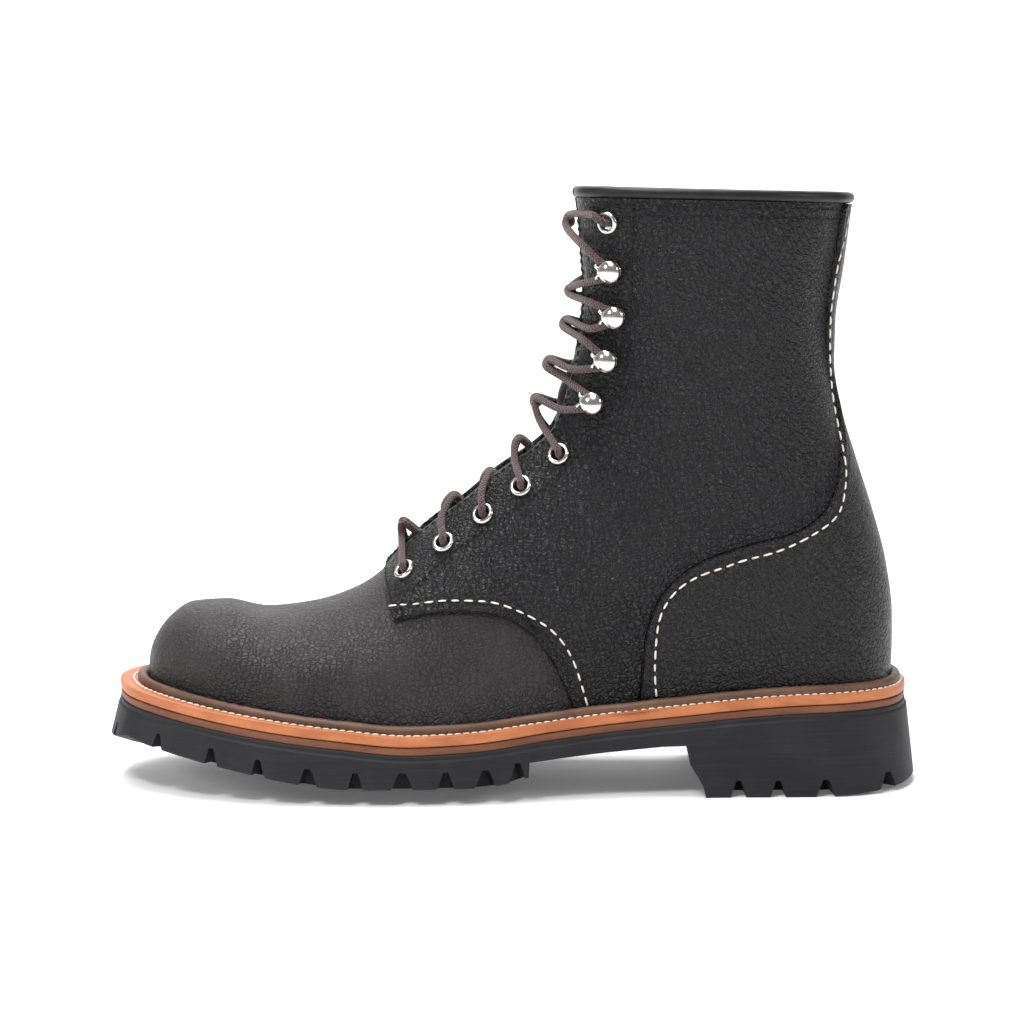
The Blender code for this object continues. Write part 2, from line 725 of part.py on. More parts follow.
def make_collar(group, finishes):
    """Rolled edge that sits on the top of the shaft."""
    radius = COLLAR_ROLL / 2
    columns = np.linspace(0, 1, 12)
    path = []
    for side, phis in ((-1, columns[::-1]), (1, columns[1:])):
        for phi in phis:
            point = last_point(1.0, phi, side)
            outward = last_normal(1.0, phi, side)
            cover = OVERLAY if phi > 0.1 else COUNTER_OVERLAY
            middle = (CLEARANCE + cover - WALL) / 2
            path.append(point + outward * middle + np.array([0, 0, radius + CLEARANCE]))
    add("collar_binding", tube_mesh("collar_binding", path, radius, 1), group, finishes["binding"])


def plate(name, offset, z_low, z_high):
    """Closed plate that follows the plan outline, with its two faces as functions of x."""
    loops = []
    for k in range(SOLE_STATIONS + 1):
        along = (1 - math.cos(math.pi * k / SOLE_STATIONS)) / 2
        lateral = OUTLINE_SHAPE.edge(-1, along, offset(along))
        medial = OUTLINE_SHAPE.edge(1, along, offset(along))
        upper = [(x, y, z_high(x)) for x, y in (lateral, medial)]
        lower = [(x, y, z_low(x)) for x, y in (medial, lateral)]
        loops.append(upper + lower + upper[:1])
    return grid_mesh(name, loops)


def close_ends(mesh):
    """Fill the holes left at the two ends of a lofted body."""
    build = bmesh.new()
    build.from_mesh(mesh)
    edges = [e for e in build.edges if e.is_boundary]
    if edges:
        bmesh.ops.holes_fill(build, edges=edges, sides=0)
    bmesh.ops.recalc_face_normals(build, faces=build.faces)
    build.to_mesh(mesh)
    build.free()
    return mesh


def make_midsole(group, finishes):
    """Thin plate between outsole and welt."""
    mesh = plate("midsole", lambda a: ledge(a) - CLEARANCE,
                 lambda x: float(sole_top(x)) + CLEARANCE,
                 lambda x: float(sole_top(x)) + CLEARANCE + MIDSOLE)
    add("midsole", close_ends(mesh), group, finishes["midsole"])


def make_insole(group, finishes):
    """Flat bed inside the wall, resting on the welt's inner rim."""
    inset = WALL + INSOLE_CLEARANCE
    mesh = plate("insole", lambda a: -inset,
                 lambda x: float(feather_height(x)),
                 lambda x: float(feather_height(x)) + INSOLE)
    add("insole", close_ends(mesh), group, finishes["insole"])


def make_welt(group, finishes):
    """Storm welt: a stitched flange with a raised bead against the upper, all round."""
    rows = []
    count = 2 * SOLE_STATIONS
    for k in range(count):
        side = -1 if k <= SOLE_STATIONS else 1
        step = k if side < 0 else count - k
        along = (1 - math.cos(math.pi * step / SOLE_STATIONS)) / 2
        inner = upper_thickness(along) + BEAD_CLEARANCE
        outer = ledge(along)
        section = (
            (-WELT_SEAT, 0.0),
            (outer - WELT / 6, 0.0),
            (outer, WELT * 0.4),
            (outer - WELT / 6, WELT),
            (inner + BEAD_WIDTH, WELT),
            (inner + BEAD_WIDTH * 0.8, WELT + BEAD_HEIGHT * 0.8),
            (inner + BEAD_WIDTH * 0.35, WELT + BEAD_HEIGHT),
            (inner, WELT),
            (-WELT_SEAT, WELT),
        )
        loop = []
        for out, up in section:
            x, y = OUTLINE_SHAPE.edge(side, along, out)
            loop.append((x, y, float(sole_top(x)) + MIDSOLE + 2 * CLEARANCE + up))
        rows.append(loop + loop[:1])
    add("welt", grid_mesh("welt", rows, close_rows=True), group, finishes["welt"])


def sole_bottom(x, y):
    """Height of the tread, crowned across the forepart."""
    share = (x - SOLE_TOE_X) / SOLE_LENGTH
    lateral = OUTLINE_SHAPE.y(-1, x)
    medial = OUTLINE_SHAPE.y(1, x)
    half = max((medial - lateral) / 2, CROWN_LEAST * HALF_BALL)
    across = min(abs(y - (medial + lateral) / 2) / half, CROWN_REACH)
    crown = TREAD_CROWN * float(1 - smooth(CROWN_FADE, 1, share))
    return HEEL_STAND * float(smooth(SOLE_BOTTOM, 1, share)) + crown * across ** 2


def notch_mesh(places, width):
    """Wedges cut into the edge of the tread, one body each."""
    build = bmesh.new()
    for along, side, size, reach in places:
        depth = LUG_NOTCH_DEPTH * reach
        out = ledge(along) + flare(along)
        centre = OUTLINE_SHAPE.edge(side, along, out)
        inside = OUTLINE_SHAPE.edge(side, along, out - depth)
        normal = np.append((centre - inside) / np.linalg.norm(centre - inside), 0)
        tangent = np.cross((0, 0, 1), normal)
        edge_z = sole_bottom(*centre)
        top = edge_z + LUG_NOTCH_RISE * min(size, 1.0)
        half = width * size / 2
        loops = []
        for distance, share in ((-depth, NOTCH_INNER), (RUBBER_FLARE, 1.0)):
            base = np.append(centre, 0) + normal * distance
            root = edge_z + (top - edge_z) * share
            levels = ((-HEEL_STAND, NOTCH_MOUTH), (edge_z - CLEARANCE, 1.0), (root, NOTCH_ROOT))
            for level, spread in levels:
                for sign in (-1, 1):
                    loops.append(build.verts.new(base + tangent * sign * half * spread + (0, 0, level)))
        a = loops
        ring = (0, 2, 4, 5, 3, 1)
        build.faces.new([a[k] for k in ring])
        build.faces.new([a[k + 6] for k in ring[::-1]])
        for k in range(6):
            first, second = ring[k], ring[(k + 1) % 6]
            build.faces.new((a[second], a[first], a[first + 6], a[second + 6]))
    bmesh.ops.recalc_face_normals(build, faces=build.faces)
    return to_mesh("lug_notches", build)


def groove_mesh():
    """Cross grooves down the middle of the forepart and the heel, one body each."""
    build = bmesh.new()
    for along, reach in CENTRE_GROOVES:
        x = TOE_X + along * LAST_LENGTH
        middle = (OUTLINE_SHAPE.y(-1, x) + OUTLINE_SHAPE.y(1, x)) / 2
        half = (OUTLINE_SHAPE.y(1, x) - OUTLINE_SHAPE.y(-1, x)) / 2 * reach
        top = sole_bottom(x, middle) + GROOVE_DEPTH
        depth = top + HEEL_STAND
        matrix = Matrix.Translation((x, middle, top - depth / 2)) @ Matrix.Diagonal(
            (GROOVE, half * 2, depth, 1))
        bmesh.ops.create_cube(build, size=1.0, matrix=matrix)
    return to_mesh("tread_grooves", build)


def make_outsole(group, cutters, finishes):
    """Lug rubber with heel, breast, waist, toe spring, side step and edge lugs."""
    levels = ((0.0, 0.0), (SOLE_STEP_DROP, 0.0), (SOLE_STEP_DROP * 1.15, SOLE_STEP_OUT))
    across = (0.16, 0.34, 0.5, 0.66, 0.84)
    loops = []
    for k in range(SOLE_STATIONS + 1):
        along = (1 - math.cos(math.pi * k / SOLE_STATIONS)) / 2
        ends = {}
        for side in (1, -1):
            wall = []
            for drop, out in levels:
                x, y = OUTLINE_SHAPE.edge(side, along, ledge(along) + out)
                wall.append((x, y, float(sole_top(x)) - drop))
            x, y = OUTLINE_SHAPE.edge(side, along, ledge(along) + flare(along))
            wall.append((x, y, sole_bottom(x, y)))
            ends[side] = wall
        lateral, medial = np.array(ends[-1][-1][:2]), np.array(ends[1][-1][:2])
        under = []
        for u in across:
            x, y = medial + (lateral - medial) * u
            under.append((x, y, sole_bottom(x, y)))
        loops.append(ends[1] + under + ends[-1][::-1] + ends[1][:1])
    mesh = close_ends(grid_mesh("outsole", loops))
    made = add("outsole", mesh, group, finishes["rubber"])
    line = [(SOLE_TOE_X + a * SOLE_LENGTH, h * HEEL_STAND, 0.0 if a < 0.7 else 1.0) for a, h in WAIST_LINE]
    reach = BALL_WIDTH
    hollow = prism_mesh("waist_hollow", line, -reach, reach,
                        lambda y: WAIST_STEP * (1 - min(abs(y) / HALF_BALL, 1.0) ** 2))
    boolean(made, add_cutter("waist_hollow", hollow, cutters), "DIFFERENCE")
    places = [(a, side, size, reach) for side in (-1, 1) for a, size, reach in NOTCHES]
    notches = add_cutter("lug_notches", notch_mesh(places, NOTCH_WIDTH), cutters)
    boolean(made, notches, "DIFFERENCE")
    boolean(made, add_cutter("tread_grooves", groove_mesh(), cutters), "DIFFERENCE")


def facing_frame(along, height, side, lift):
    """Place and frame on the quarter's outer face for a piece of the lacing."""
    t, phi = locate(along, height, side)
    normal = last_normal(t, phi, side)
    point = last_point(t, phi, side) + normal * lift
    up = last_point(min(t + 0.01, 1), phi, side) - last_point(max(t - 0.01, 0), phi, side)
    up = up - normal * np.dot(up, normal)
    up /= np.linalg.norm(up)
    across = np.cross(up, normal)
    matrix = Matrix((
        (across[0], up[0], normal[0], point[0]),
        (across[1], up[1], normal[1], point[1]),
        (across[2], up[2], normal[2], point[2]),
        (0, 0, 0, 1),
    ))
    return matrix


def turned(name, profile, group, finish, matrix):
    """Turn a closed profile about Z and place it."""
    build = bmesh.new()
    verts = [build.verts.new((r, 0, z)) for r, z in profile]
    closed = profile[0][0] > 0
    edges = [build.edges.new((a, b)) for a, b in zip(verts[:-1], verts[1:])]
    if closed:
        edges.append(build.edges.new((verts[-1], verts[0])))
    mesh = to_mesh(name, build)
    made = add(name, mesh, group, finish)
    screw = made.modifiers.new("Turn", "SCREW")
    screw.steps = ROUND
    screw.render_steps = ROUND
    screw.use_merge_vertices = True
    screw.merge_threshold = 0.00001
    screw.use_normal_calculate = False
    made.matrix_world = matrix
    return made


def make_eyelets(group, finishes):
    """Rings set on the facings: five low and one at the top of each side."""
    r0, r1, h = EYELET_HOLE / 2, EYELET_OUTER / 2, EYELET_HEIGHT
    profile = ((r0, h * 0.8), ((r0 + r1) / 2, h), (r1, 0), (r0, 0))
    lift = 2 * CLEARANCE + OVERLAY + EYELET_SEAT
    for side, word in ((-1, "lateral"), (1, "medial")):
        for k, (along, height) in enumerate(EYELETS):
            matrix = facing_frame(along, height, side, lift)
            turned("eyelet_%s_%d" % (word, k + 1), profile, group, finishes["nickel"], matrix)


def make_hooks(group, finishes):
    """Speed hooks: base, neck and dome."""
    r, neck, h = HOOK_DOME / 2, HOOK_NECK / 2, HOOK_HEIGHT
    profile = ((0, h), (r * 0.7, h * 0.92), (r, h * 0.66), (neck, h * 0.5), (neck, h * 0.16),
               (r * 0.85, 0), (0, 0))
    lift = 2 * CLEARANCE + OVERLAY + EYELET_SEAT
    for side, word in ((-1, "lateral"), (1, "medial")):
        for k, (along, height) in enumerate(HOOKS):
            matrix = facing_frame(along, height, side, lift)
            turned("hook_%s_%d" % (word, k + 1), profile, group, finishes["nickel"], matrix)


def tongue_point(t, u):
    """Point of the tongue's outer face: u runs -1 to 1 from its lateral to its medial edge."""
    columns = LOW_COLUMNS + HIGH_COLUMNS
    side = -1 if u < 0 else 1
    inward = WALL + TONGUE_CLEARANCE
    if abs(u) > 0:
        phi = 1 - (abs(u) - 1.0 / (TONGUE_REACH + 1)) * (TONGUE_REACH + 1) / columns
        phi = min(phi, 1)
        return last_point(t, phi, side) - last_normal(t, phi, side) * inward
    edges = [last_point(t, 1.0, s) - last_normal(t, 1.0, s) * inward for s in (-1, 1)]
    normal = last_normal(t, 1.0, -1) + last_normal(t, 1.0, 1)
    normal /= np.linalg.norm(normal)
    rise = float(smooth(TONGUE_RISE, 1, t)) * THROAT_GAP
    return (edges[0] + edges[1]) / 2 + normal * rise


def make_tongue(group, finishes):
    """Padded tongue under the facings, risen between them at the ankle."""
    shares = [k / (TONGUE_REACH + 1) for k in range(TONGUE_REACH + 2)]
    across = [-s for s in shares[:0:-1]] + shares
    places = [r / LAST_ROW for r in range(LAST_ROW) if TONGUE_START < r / LAST_ROW < TONGUE_END]
    rows = [[tongue_point(t, u) for u in across] for t in places]
    made = add("tongue", grid_mesh("tongue", rows), group, finishes["tongue"])
    centre = sum((p.normal.x for p in made.data.polygons))
    if centre > 0:
        made.data.flip_normals()
    padding = made.modifiers.new("Padding", "SOLIDIFY")
    padding.thickness = TONGUE
    padding.offset = -1
    padding.use_even_offset = False


def lace_crossing(name, first, second, group, cutters, finishes):
    """Two crossed runs of lace between neighbouring rows, joined where they cross."""
    radius = LACE / 2
    clear = 2 * CLEARANCE + OVERLAY + radius + LACE_CLEARANCE
    runs = []
    for side in (-1, 1):
        a = run_end(first, side, clear, 1)
        b = run_end(second, -side, clear, -1)
        t = (a[1] + b[1]) / 2
        middle = tongue_point(t, 0)
        edge = (last_point(t, 1.0, -1) + last_point(t, 1.0, 1)) / 2
        normal = last_normal(t, 1.0, -1) + last_normal(t, 1.0, 1)
        normal /= np.linalg.norm(normal)
        height = max(np.dot(middle - edge, normal), OVERLAY) + radius + LACE_CLEARANCE + TONGUE * 0.3
        top = edge + normal * height
        top = top + normal * (LACE * 0.15 if side > 0 else 0.0)
        runs.append([a[0], a[2], top, b[2], b[0]])
    left = add(name, tube_mesh(name, runs[0], radius, 1), group, finishes["lace"])
    right = add_cutter(name + "_other", tube_mesh(name + "_other", runs[1], radius, 1), cutters)
    boolean(left, right, "UNION")


def run_end(place, side, clear, shift=0):
    """Where a run of lace meets a facing, beside its eyelet or hook, and where it leaves the edge. The
    shift sets it above or below the row, clear of the next crossing."""
    t, phi = locate(*place, side)
    step = last_point(min(t + 0.01, 1), phi, side) - last_point(t, phi, side)
    t += shift * (LACE / 2 + CLEARANCE) * 0.01 / np.linalg.norm(step)
    reach = phi + (1 - phi) * 0.62
    start = last_point(t, reach, side) + last_normal(t, reach, side) * clear
    edge = last_point(t, 1.0, side) + last_normal(t, 1.0, side) * (clear + LACE_CLEARANCE)
    return start, t, edge


def make_laces(group, cutters, finishes):
    """Bar at the lowest row and crossings up to the top eyelets."""
    places = EYELETS[:5] + HOOKS + EYELETS[5:]
    clear = 2 * CLEARANCE + OVERLAY + LACE / 2 + LACE_CLEARANCE
    ends = [run_end(BAR_PLACE, side, clear) for side in (-1, 1)]
    bar = [ends[0][0], ends[0][2], ends[1][2], ends[1][0]]
    add("lace_bar", tube_mesh("lace_bar", bar, LACE / 2, 1), group, finishes["lace"])
    for k in range(len(places) - 1):
        lace_crossing("lace_crossing_%d" % (k + 1), places[k], places[k + 1], group, cutters, finishes)


def make_finishes():
    """All materials of the boot."""
    return {
        "leather": material("upper_leather", (0.030, 0.031, 0.034), 0.55),
        "quarter": material("quarter_leather", (0.026, 0.027, 0.031), 0.55),
        "counter": material("counter_leather", (0.030, 0.031, 0.034), 0.5),
        "binding": material("binding_leather", (0.012, 0.012, 0.014), 0.4),
        "tongue": material("tongue_leather", (0.020, 0.020, 0.022), 0.6),
        "rubber": material("lug_rubber", (0.035, 0.038, 0.045), 0.7),
        "midsole": material("midsole_tan", (0.36, 0.16, 0.06), 0.6),
        "welt": material("welt_tan", (0.42, 0.20, 0.08), 0.55),
        "insole": material("insole_leather", (0.35, 0.24, 0.14), 0.8),
        "nickel": material("nickel", (0.62, 0.61, 0.58), 0.25, 1.0),
        "lace": material("lace_cord", (0.055, 0.022, 0.016), 0.8),
    }


def main():
    """Build the boot."""
    for old in list(bpy.data.objects):
        bpy.data.objects.remove(old, do_unlink=True)
    group = collection("logger_boot")
    cutters = collection("cutters")
    finishes = make_finishes()
    make_outsole(group, cutters, finishes)
    make_midsole(group, finishes)
    make_welt(group, finishes)
    make_insole(group, finishes)
    make_upper(group, finishes)
    make_quarter("quarter_lateral", -1, group, cutters, finishes)
    make_quarter("quarter_medial", 1, group, cutters, finishes)
    make_counter(group, cutters, finishes)
    make_collar(group, finishes)
    make_tongue(group, finishes)
    make_eyelets(group, finishes)
    make_hooks(group, finishes)
    make_laces(group, cutters, finishes)


main()
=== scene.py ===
"""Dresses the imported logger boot: dense leather, rubber, cord and metal pieces over the CAD frame, with the
studio, the lights and the camera. Metres, +Z up, toe towards -X, outer side of the left foot towards -Y."""
from __future__ import annotations

import logging
import math
from dataclasses import dataclass, field
from enum import Enum
from typing import Callable, Optional, Sequence

import bmesh
import bpy
import numpy as np
from mathutils import Matrix, Vector


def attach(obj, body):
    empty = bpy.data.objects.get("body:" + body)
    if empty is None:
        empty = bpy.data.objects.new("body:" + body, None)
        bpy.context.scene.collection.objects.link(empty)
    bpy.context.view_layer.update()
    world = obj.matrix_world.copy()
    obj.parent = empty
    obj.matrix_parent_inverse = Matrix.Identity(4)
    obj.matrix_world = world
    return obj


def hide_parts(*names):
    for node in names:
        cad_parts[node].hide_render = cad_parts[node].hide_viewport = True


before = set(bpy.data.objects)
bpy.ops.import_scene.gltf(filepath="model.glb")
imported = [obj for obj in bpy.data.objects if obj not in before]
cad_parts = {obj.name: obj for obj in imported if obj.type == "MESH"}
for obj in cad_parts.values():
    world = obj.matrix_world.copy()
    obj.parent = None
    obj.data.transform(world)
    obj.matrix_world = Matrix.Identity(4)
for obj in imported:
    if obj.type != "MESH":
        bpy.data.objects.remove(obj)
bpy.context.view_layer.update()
LOG = logging.getLogger("logger_boot")
BODY = "root"
MM = 0.001

# Plan outline of the last: along as a share of LAST_LENGTH, sides as shares of half the ball width
OUTLINE = (
    # along, lateral, medial
    (0.000, -0.08, 0.08),
    (0.012, 0.25, 0.40),
    (0.036, 0.45, 0.61),
    (0.078, 0.65, 0.79),
    (0.130, 0.81, 0.915),
    (0.200, 0.937, 0.985),
    (0.270, 0.99, 1.00),
    (0.340, 1.00, 0.96),
    (0.430, 0.955, 0.81),
    (0.515, 0.85, 0.65),
    (0.600, 0.735, 0.58),
    (0.690, 0.66, 0.575),
    (0.780, 0.615, 0.590),
    (0.870, 0.60, 0.60),
    (0.930, 0.565, 0.565),
    (0.970, 0.45, 0.45),
    (0.990, 0.29, 0.29),
    (1.000, 0.00, 0.00),
)

# Side profile of the outsole's top: along as a share of the sole's length, height as a share of HEEL_STAND
SOLE_TOP = (
    # along, height
    (0.00, 1.010),
    (0.04, 0.965),
    (0.10, 0.885),
    (0.20, 0.753),
    (0.30, 0.646),
    (0.38, 0.583),
    (0.45, 0.605),
    (0.55, 0.710),
    (0.70, 0.850),
    (0.85, 0.966),
    (1.00, 1.000),
)

# Underside down the middle, the same shares
SOLE_BOTTOM = (
    # along, height
    (0.00, 0.520),
    (0.04, 0.410),
    (0.10, 0.300),
    (0.18, 0.160),
    (0.25, 0.050),
    (0.31, 0.000),
    (0.45, 0.000),
    (0.49, 0.030),
    (0.52, 0.100),
    (0.60, 0.000),
    (0.82, 0.000),
    (0.90, 0.015),
    (1.00, 0.085),
)

# Where the tread's crown ends, along as a share of the sole's length
CROWN_FADE = (
    # along, faded
    (0.00, 0.0),
    (0.52, 0.0),
    (0.56, 1.0),
    (1.00, 1.0),
)

# The waist's hollow, from the forepart's end to the heel breast
WAIST_LINE = (
    # along, height
    (0.516, -0.300),
    (0.521, 0.470),
    (0.600, 0.540),
    (0.680, 0.605),
    (0.704, 0.610),
    (0.709, 0.400),
    (0.725, 0.140),
    (0.736, -0.300),
)

# Sections of the last from the toe to the collar
SECTIONS = (
    # back_along, climb, front_along, front_height, follow, half, widest, low, high, lean
    (0.0000, 0.000, 0.0000, 0.2020, 1.00, 0.98, 0.40, 1.30, 2.40, 0.08),
    (0.0030, 0.000, 0.0040, 0.2215, 1.00, 0.98, 0.40, 1.30, 2.40, 0.08),
    (0.0120, 0.000, 0.0140, 0.2485, 1.00, 0.98, 0.40, 1.30, 2.40, 0.08),
    (0.0290, 0.000, 0.0320, 0.2755, 1.00, 0.98, 0.38, 1.30, 2.40, 0.08),
    (0.0560, 0.000, 0.0595, 0.2945, 1.00, 0.98, 0.37, 1.30, 2.40, 0.08),
    (0.0980, 0.000, 0.1025, 0.2965, 1.00, 0.98, 0.36, 1.30, 2.35, 0.09),
    (0.1540, 0.000, 0.1585, 0.2830, 1.00, 0.98, 0.36, 1.30, 2.25, 0.10),
    (0.2180, 0.000, 0.2235, 0.2930, 1.00, 0.98, 0.35, 1.30, 2.10, 0.10),
    (0.2830, 0.000, 0.2880, 0.3220, 1.00, 0.98, 0.36, 1.30, 1.95, 0.10),
    (0.3440, 0.000, 0.3270, 0.3575, 0.80, 0.98, 0.38, 1.30, 1.85, 0.09),
    (0.4070, 0.000, 0.3550, 0.3900, 0.50, 0.94, 0.40, 1.30, 1.80, 0.08),
    (0.4910, 0.000, 0.3935, 0.4320, 0.25, 0.87, 0.43, 1.30, 1.80, 0.06),
    (0.5960, 0.000, 0.4390, 0.4735, 0.10, 0.79, 0.46, 1.30, 1.80, 0.04),
    (0.7080, 0.000, 0.4810, 0.5180, 0.00, 0.75, 0.49, 1.35, 1.85, 0.02),
    (0.8200, 0.000, 0.5222, 0.5525, 0.00, 0.735, 0.50, 1.45, 1.90, 0.00),
    (0.9120, 0.000, 0.5422, 0.5725, 0.00, 0.730, 0.50, 1.60, 1.95, 0.00),
    (0.9680, 0.000, 0.5566, 0.5915, 0.00, 0.730, 0.50, 1.95, 2.00, 0.00),
    (0.9930, 0.000, 0.5656, 0.6125, 0.00, 0.730, 0.50, 2.35, 2.05, 0.00),
    (1.0000, 0.000, 0.5716, 0.6320, 0.00, 0.727, 0.50, 2.60, 2.10, 0.00),
    (1.0030, 0.057, 0.5769, 0.6515, 0.00, 0.725, 0.50, 2.60, 2.15, 0.00),
    (1.0025, 0.113, 0.5814, 0.6710, 0.00, 0.725, 0.50, 2.50, 2.20, 0.00),
    (0.9940, 0.191, 0.5870, 0.6950, 0.00, 0.727, 0.50, 2.40, 2.20, 0.00),
    (0.9765, 0.274, 0.5923, 0.7255, 0.00, 0.732, 0.51, 2.30, 2.25, 0.00),
    (0.9530, 0.363, 0.5961, 0.7600, 0.00, 0.742, 0.52, 2.25, 2.30, 0.00),
    (0.9310, 0.452, 0.6000, 0.7990, 0.00, 0.757, 0.52, 2.20, 2.35, 0.00),
    (0.9195, 0.535, 0.6007, 0.8405, 0.00, 0.777, 0.52, 2.20, 2.40, 0.00),
    (0.9205, 0.609, 0.5979, 0.8860, 0.00, 0.805, 0.52, 2.20, 2.40, 0.00),
    (0.9300, 0.696, 0.5954, 0.9320, 0.00, 0.840, 0.52, 2.20, 2.40, 0.00),
    (0.9400, 0.7985, 0.5905, 0.9807, 0.00, 0.875, 0.52, 2.20, 2.40, 0.00),
)
SECTION_COLUMNS = ("back_along", "climb", "front_along", "front_height", "follow", "half", "widest",
                   "low", "high", "lean")
THROAT_ROW = 9.5
HEEL_END_ROW = 18
# Side-view edges of the overlays: along as a share of LAST_LENGTH, height as a share of BOOT_HEIGHT
QUARTER_FRONT = (
    # along, height
    (0.332, 0.420),
    (0.326, 0.360),
    (0.334, 0.318),
    (0.343, 0.288),
)
QUARTER_LOWER = (
    # along, height
    (0.343, 0.288),
    (0.391, 0.302),
    (0.443, 0.3055),
    (0.489, 0.296),
    (0.522, 0.272),
    (0.548, 0.233),
    (0.564, 0.191),
    (0.575, 0.150),
    (0.577, 0.100),
)
COUNTER_EDGE = (
    # along, height
    (0.667, 0.100),
    (0.668, 0.163),
    (0.671, 0.226),
    (0.678, 0.284),
    (0.700, 0.342),
    (0.746, 0.388),
    (0.811, 0.417),
    (0.877, 0.440),
    (0.915, 0.482),
    (0.931, 0.556),
    (0.928, 0.621),
    (0.911, 0.718),
    (0.9095, 0.815),
    (0.921, 0.912),
    (0.931, 1.020),
)
# Black stitches in metres, and how far the lower edge's second seam lies from it
BLACK_STITCH = {"pitch": 0.0031, "length": 0.0021, "thick": 0.00036}
FINE_BLACK_STITCH = {"pitch": 0.0031, "length": 0.0021, "thick": 0.00032}
SECOND_SEAM = 0.0032
# Lacing places in the side view, the same shares
EYELETS = ((0.3595, 0.3620), (0.410, 0.4070), (0.463, 0.4550), (0.5130, 0.5020), (0.5635, 0.5550),
           (0.6275, 0.9405))
BAR_PLACE = (0.3450, 0.3560)
HOOKS = ((0.612, 0.6431), (0.6305, 0.7165), (0.640, 0.7890), (0.635, 0.8630))

# Notch places: share along the last, size as a share of NOTCH_WIDTH, depth as a share of LUG_NOTCH_DEPTH
NOTCHES = (
    # along, size, reach
    (0.008, 0.9, 0.50),
    (0.055, 0.9, 0.80),
    (0.118, 1.0, 1.00),
    (0.175, 1.0, 1.00),
    (0.235, 1.3, 1.00),
    (0.295, 1.1, 1.00),
    (0.353, 1.5, 1.00),
    (0.408, 1.2, 1.00),
    (0.457, 1.5, 1.00),
    (0.498, 1.1, 1.00),
    (0.797, 1.1, 1.00),
    (0.850, 1.1, 1.00),
    (0.910, 1.3, 0.90),
    (0.972, 1.5, 0.55),
)
# Cross grooves of the tread: share along the last, reach as a share of the half width
CENTRE_GROOVES = ((0.16, 0.5), (0.23, 0.6), (0.30, 0.65), (0.37, 0.65),
                  (0.44, 0.55), (0.80, 0.45), (0.88, 0.45))

# Middle lines of the seams in the side view, the same shares
LOWER_SEAM = (
    # along, height
    (0.334, 0.306),
    (0.357, 0.3105),
    (0.403, 0.3205),
    (0.439, 0.322),
    (0.468, 0.321),
    (0.4925, 0.3135),
    (0.523, 0.298),
    (0.546, 0.281),
    (0.566, 0.254),
    (0.582, 0.214),
    (0.5975, 0.148),
)
COUNTER_SEAM = (
    # along, height
    (0.6885, 0.163),
    (0.686, 0.205),
    (0.6875, 0.252),
    (0.691, 0.290),
    (0.7005, 0.321),
    (0.720, 0.349),
    (0.748, 0.369),
    (0.776, 0.380),
    (0.805, 0.393),
    (0.849, 0.4075),
    (0.893, 0.4335),
    (0.922, 0.460),
    (0.930, 0.4925),
    (0.932, 0.5325),
    (0.926, 0.574),
    (0.9195, 0.611),
    (0.9137, 0.648),
    (0.9110, 0.683),
    (0.9090, 0.722),
    (0.9085, 0.758),
    (0.9092, 0.794),
    (0.9127, 0.831),
    (0.9172, 0.873),
    (0.9255, 0.909),
    (0.932, 0.955),
)
FACING_SEAM = (
    # along, height
    (0.362, 0.321),
    (0.377, 0.347),
    (0.410, 0.3835),
    (0.440, 0.4125),
    (0.4885, 0.455),
    (0.536, 0.497),
    (0.583, 0.550),
    (0.616, 0.604),
    (0.640, 0.655),
    (0.647, 0.690),
    (0.653, 0.723),
    (0.6553, 0.767),
    (0.656, 0.834),
    (0.6567, 0.894),
    (0.657, 0.968),
)


def monotone(keys: np.ndarray, values: np.ndarray, at: np.ndarray) -> np.ndarray:
    """Interpolate by a cubic that doesn't overshoot.

    Args:
        keys: Rising keys.
        values: Value at each key.
        at: Where to read.

    Returns:
        The values there.
    """
    step = np.diff(keys)
    slope = np.diff(values) / step
    tangent = np.zeros(len(values))
    tangent[0], tangent[-1] = slope[0], slope[-1]
    for k in range(1, len(values) - 1):
        if slope[k - 1] * slope[k] > 0:
            before, after = 2 * step[k] + step[k - 1], step[k] + 2 * step[k - 1]
            tangent[k] = (before + after) / (before / slope[k - 1] + after / slope[k])
    at = np.clip(np.asarray(at, float), keys[0], keys[-1])
    k = np.clip(np.searchsorted(keys, at) - 1, 0, len(step) - 1)
    u = (at - keys[k]) / step[k]
    return (values[k] * (1 + 2 * u) * (1 - u) ** 2 + values[k + 1] * u * u * (3 - 2 * u)
            + step[k] * (tangent[k] * u * (1 - u) ** 2 - tangent[k + 1] * u * u * (1 - u)))


def read(table: Sequence[Sequence[float]], at: np.ndarray) -> np.ndarray:
    """Read a two-column table as a smooth curve."""
    rows = np.array(table, float)
    return monotone(rows[:, 0], rows[:, 1], at)


def smoothstep(low: float, high: float, value: np.ndarray) -> np.ndarray:
    """Soft step from 0 to 1 between two values."""
    u = np.clip((np.asarray(value, float) - low) / (high - low), 0, 1)
    return u * u * (3 - 2 * u)


def through(points: Sequence[Sequence[float]], steps: int, closed: bool = False) -> np.ndarray:
    """Catmull-Rom curve through points.

    Args:
        points: Places on the curve.
        steps: Steps on each span.
        closed: Whether the curve closes on itself.

    Returns:
        The curve's places.
    """
    count = len(points)
    result = []
    for k in range(count if closed else count - 1):
        places = [(k + j - 1) % count if closed else min(max(k + j - 1, 0), count - 1) for j in range(4)]
        p = [np.array(points[place], float) for place in places]
        for j in range(steps):
            u = j / steps
            square = 2 * p[0] - 5 * p[1] + 4 * p[2] - p[3]
            cube = 3 * p[1] - p[0] - 3 * p[2] + p[3]
            result.append(0.5 * (2 * p[1] + (p[2] - p[0]) * u + square * u ** 2 + cube * u ** 3))
    if not closed:
        result.append(np.array(points[-1], float))
    return np.array(result)


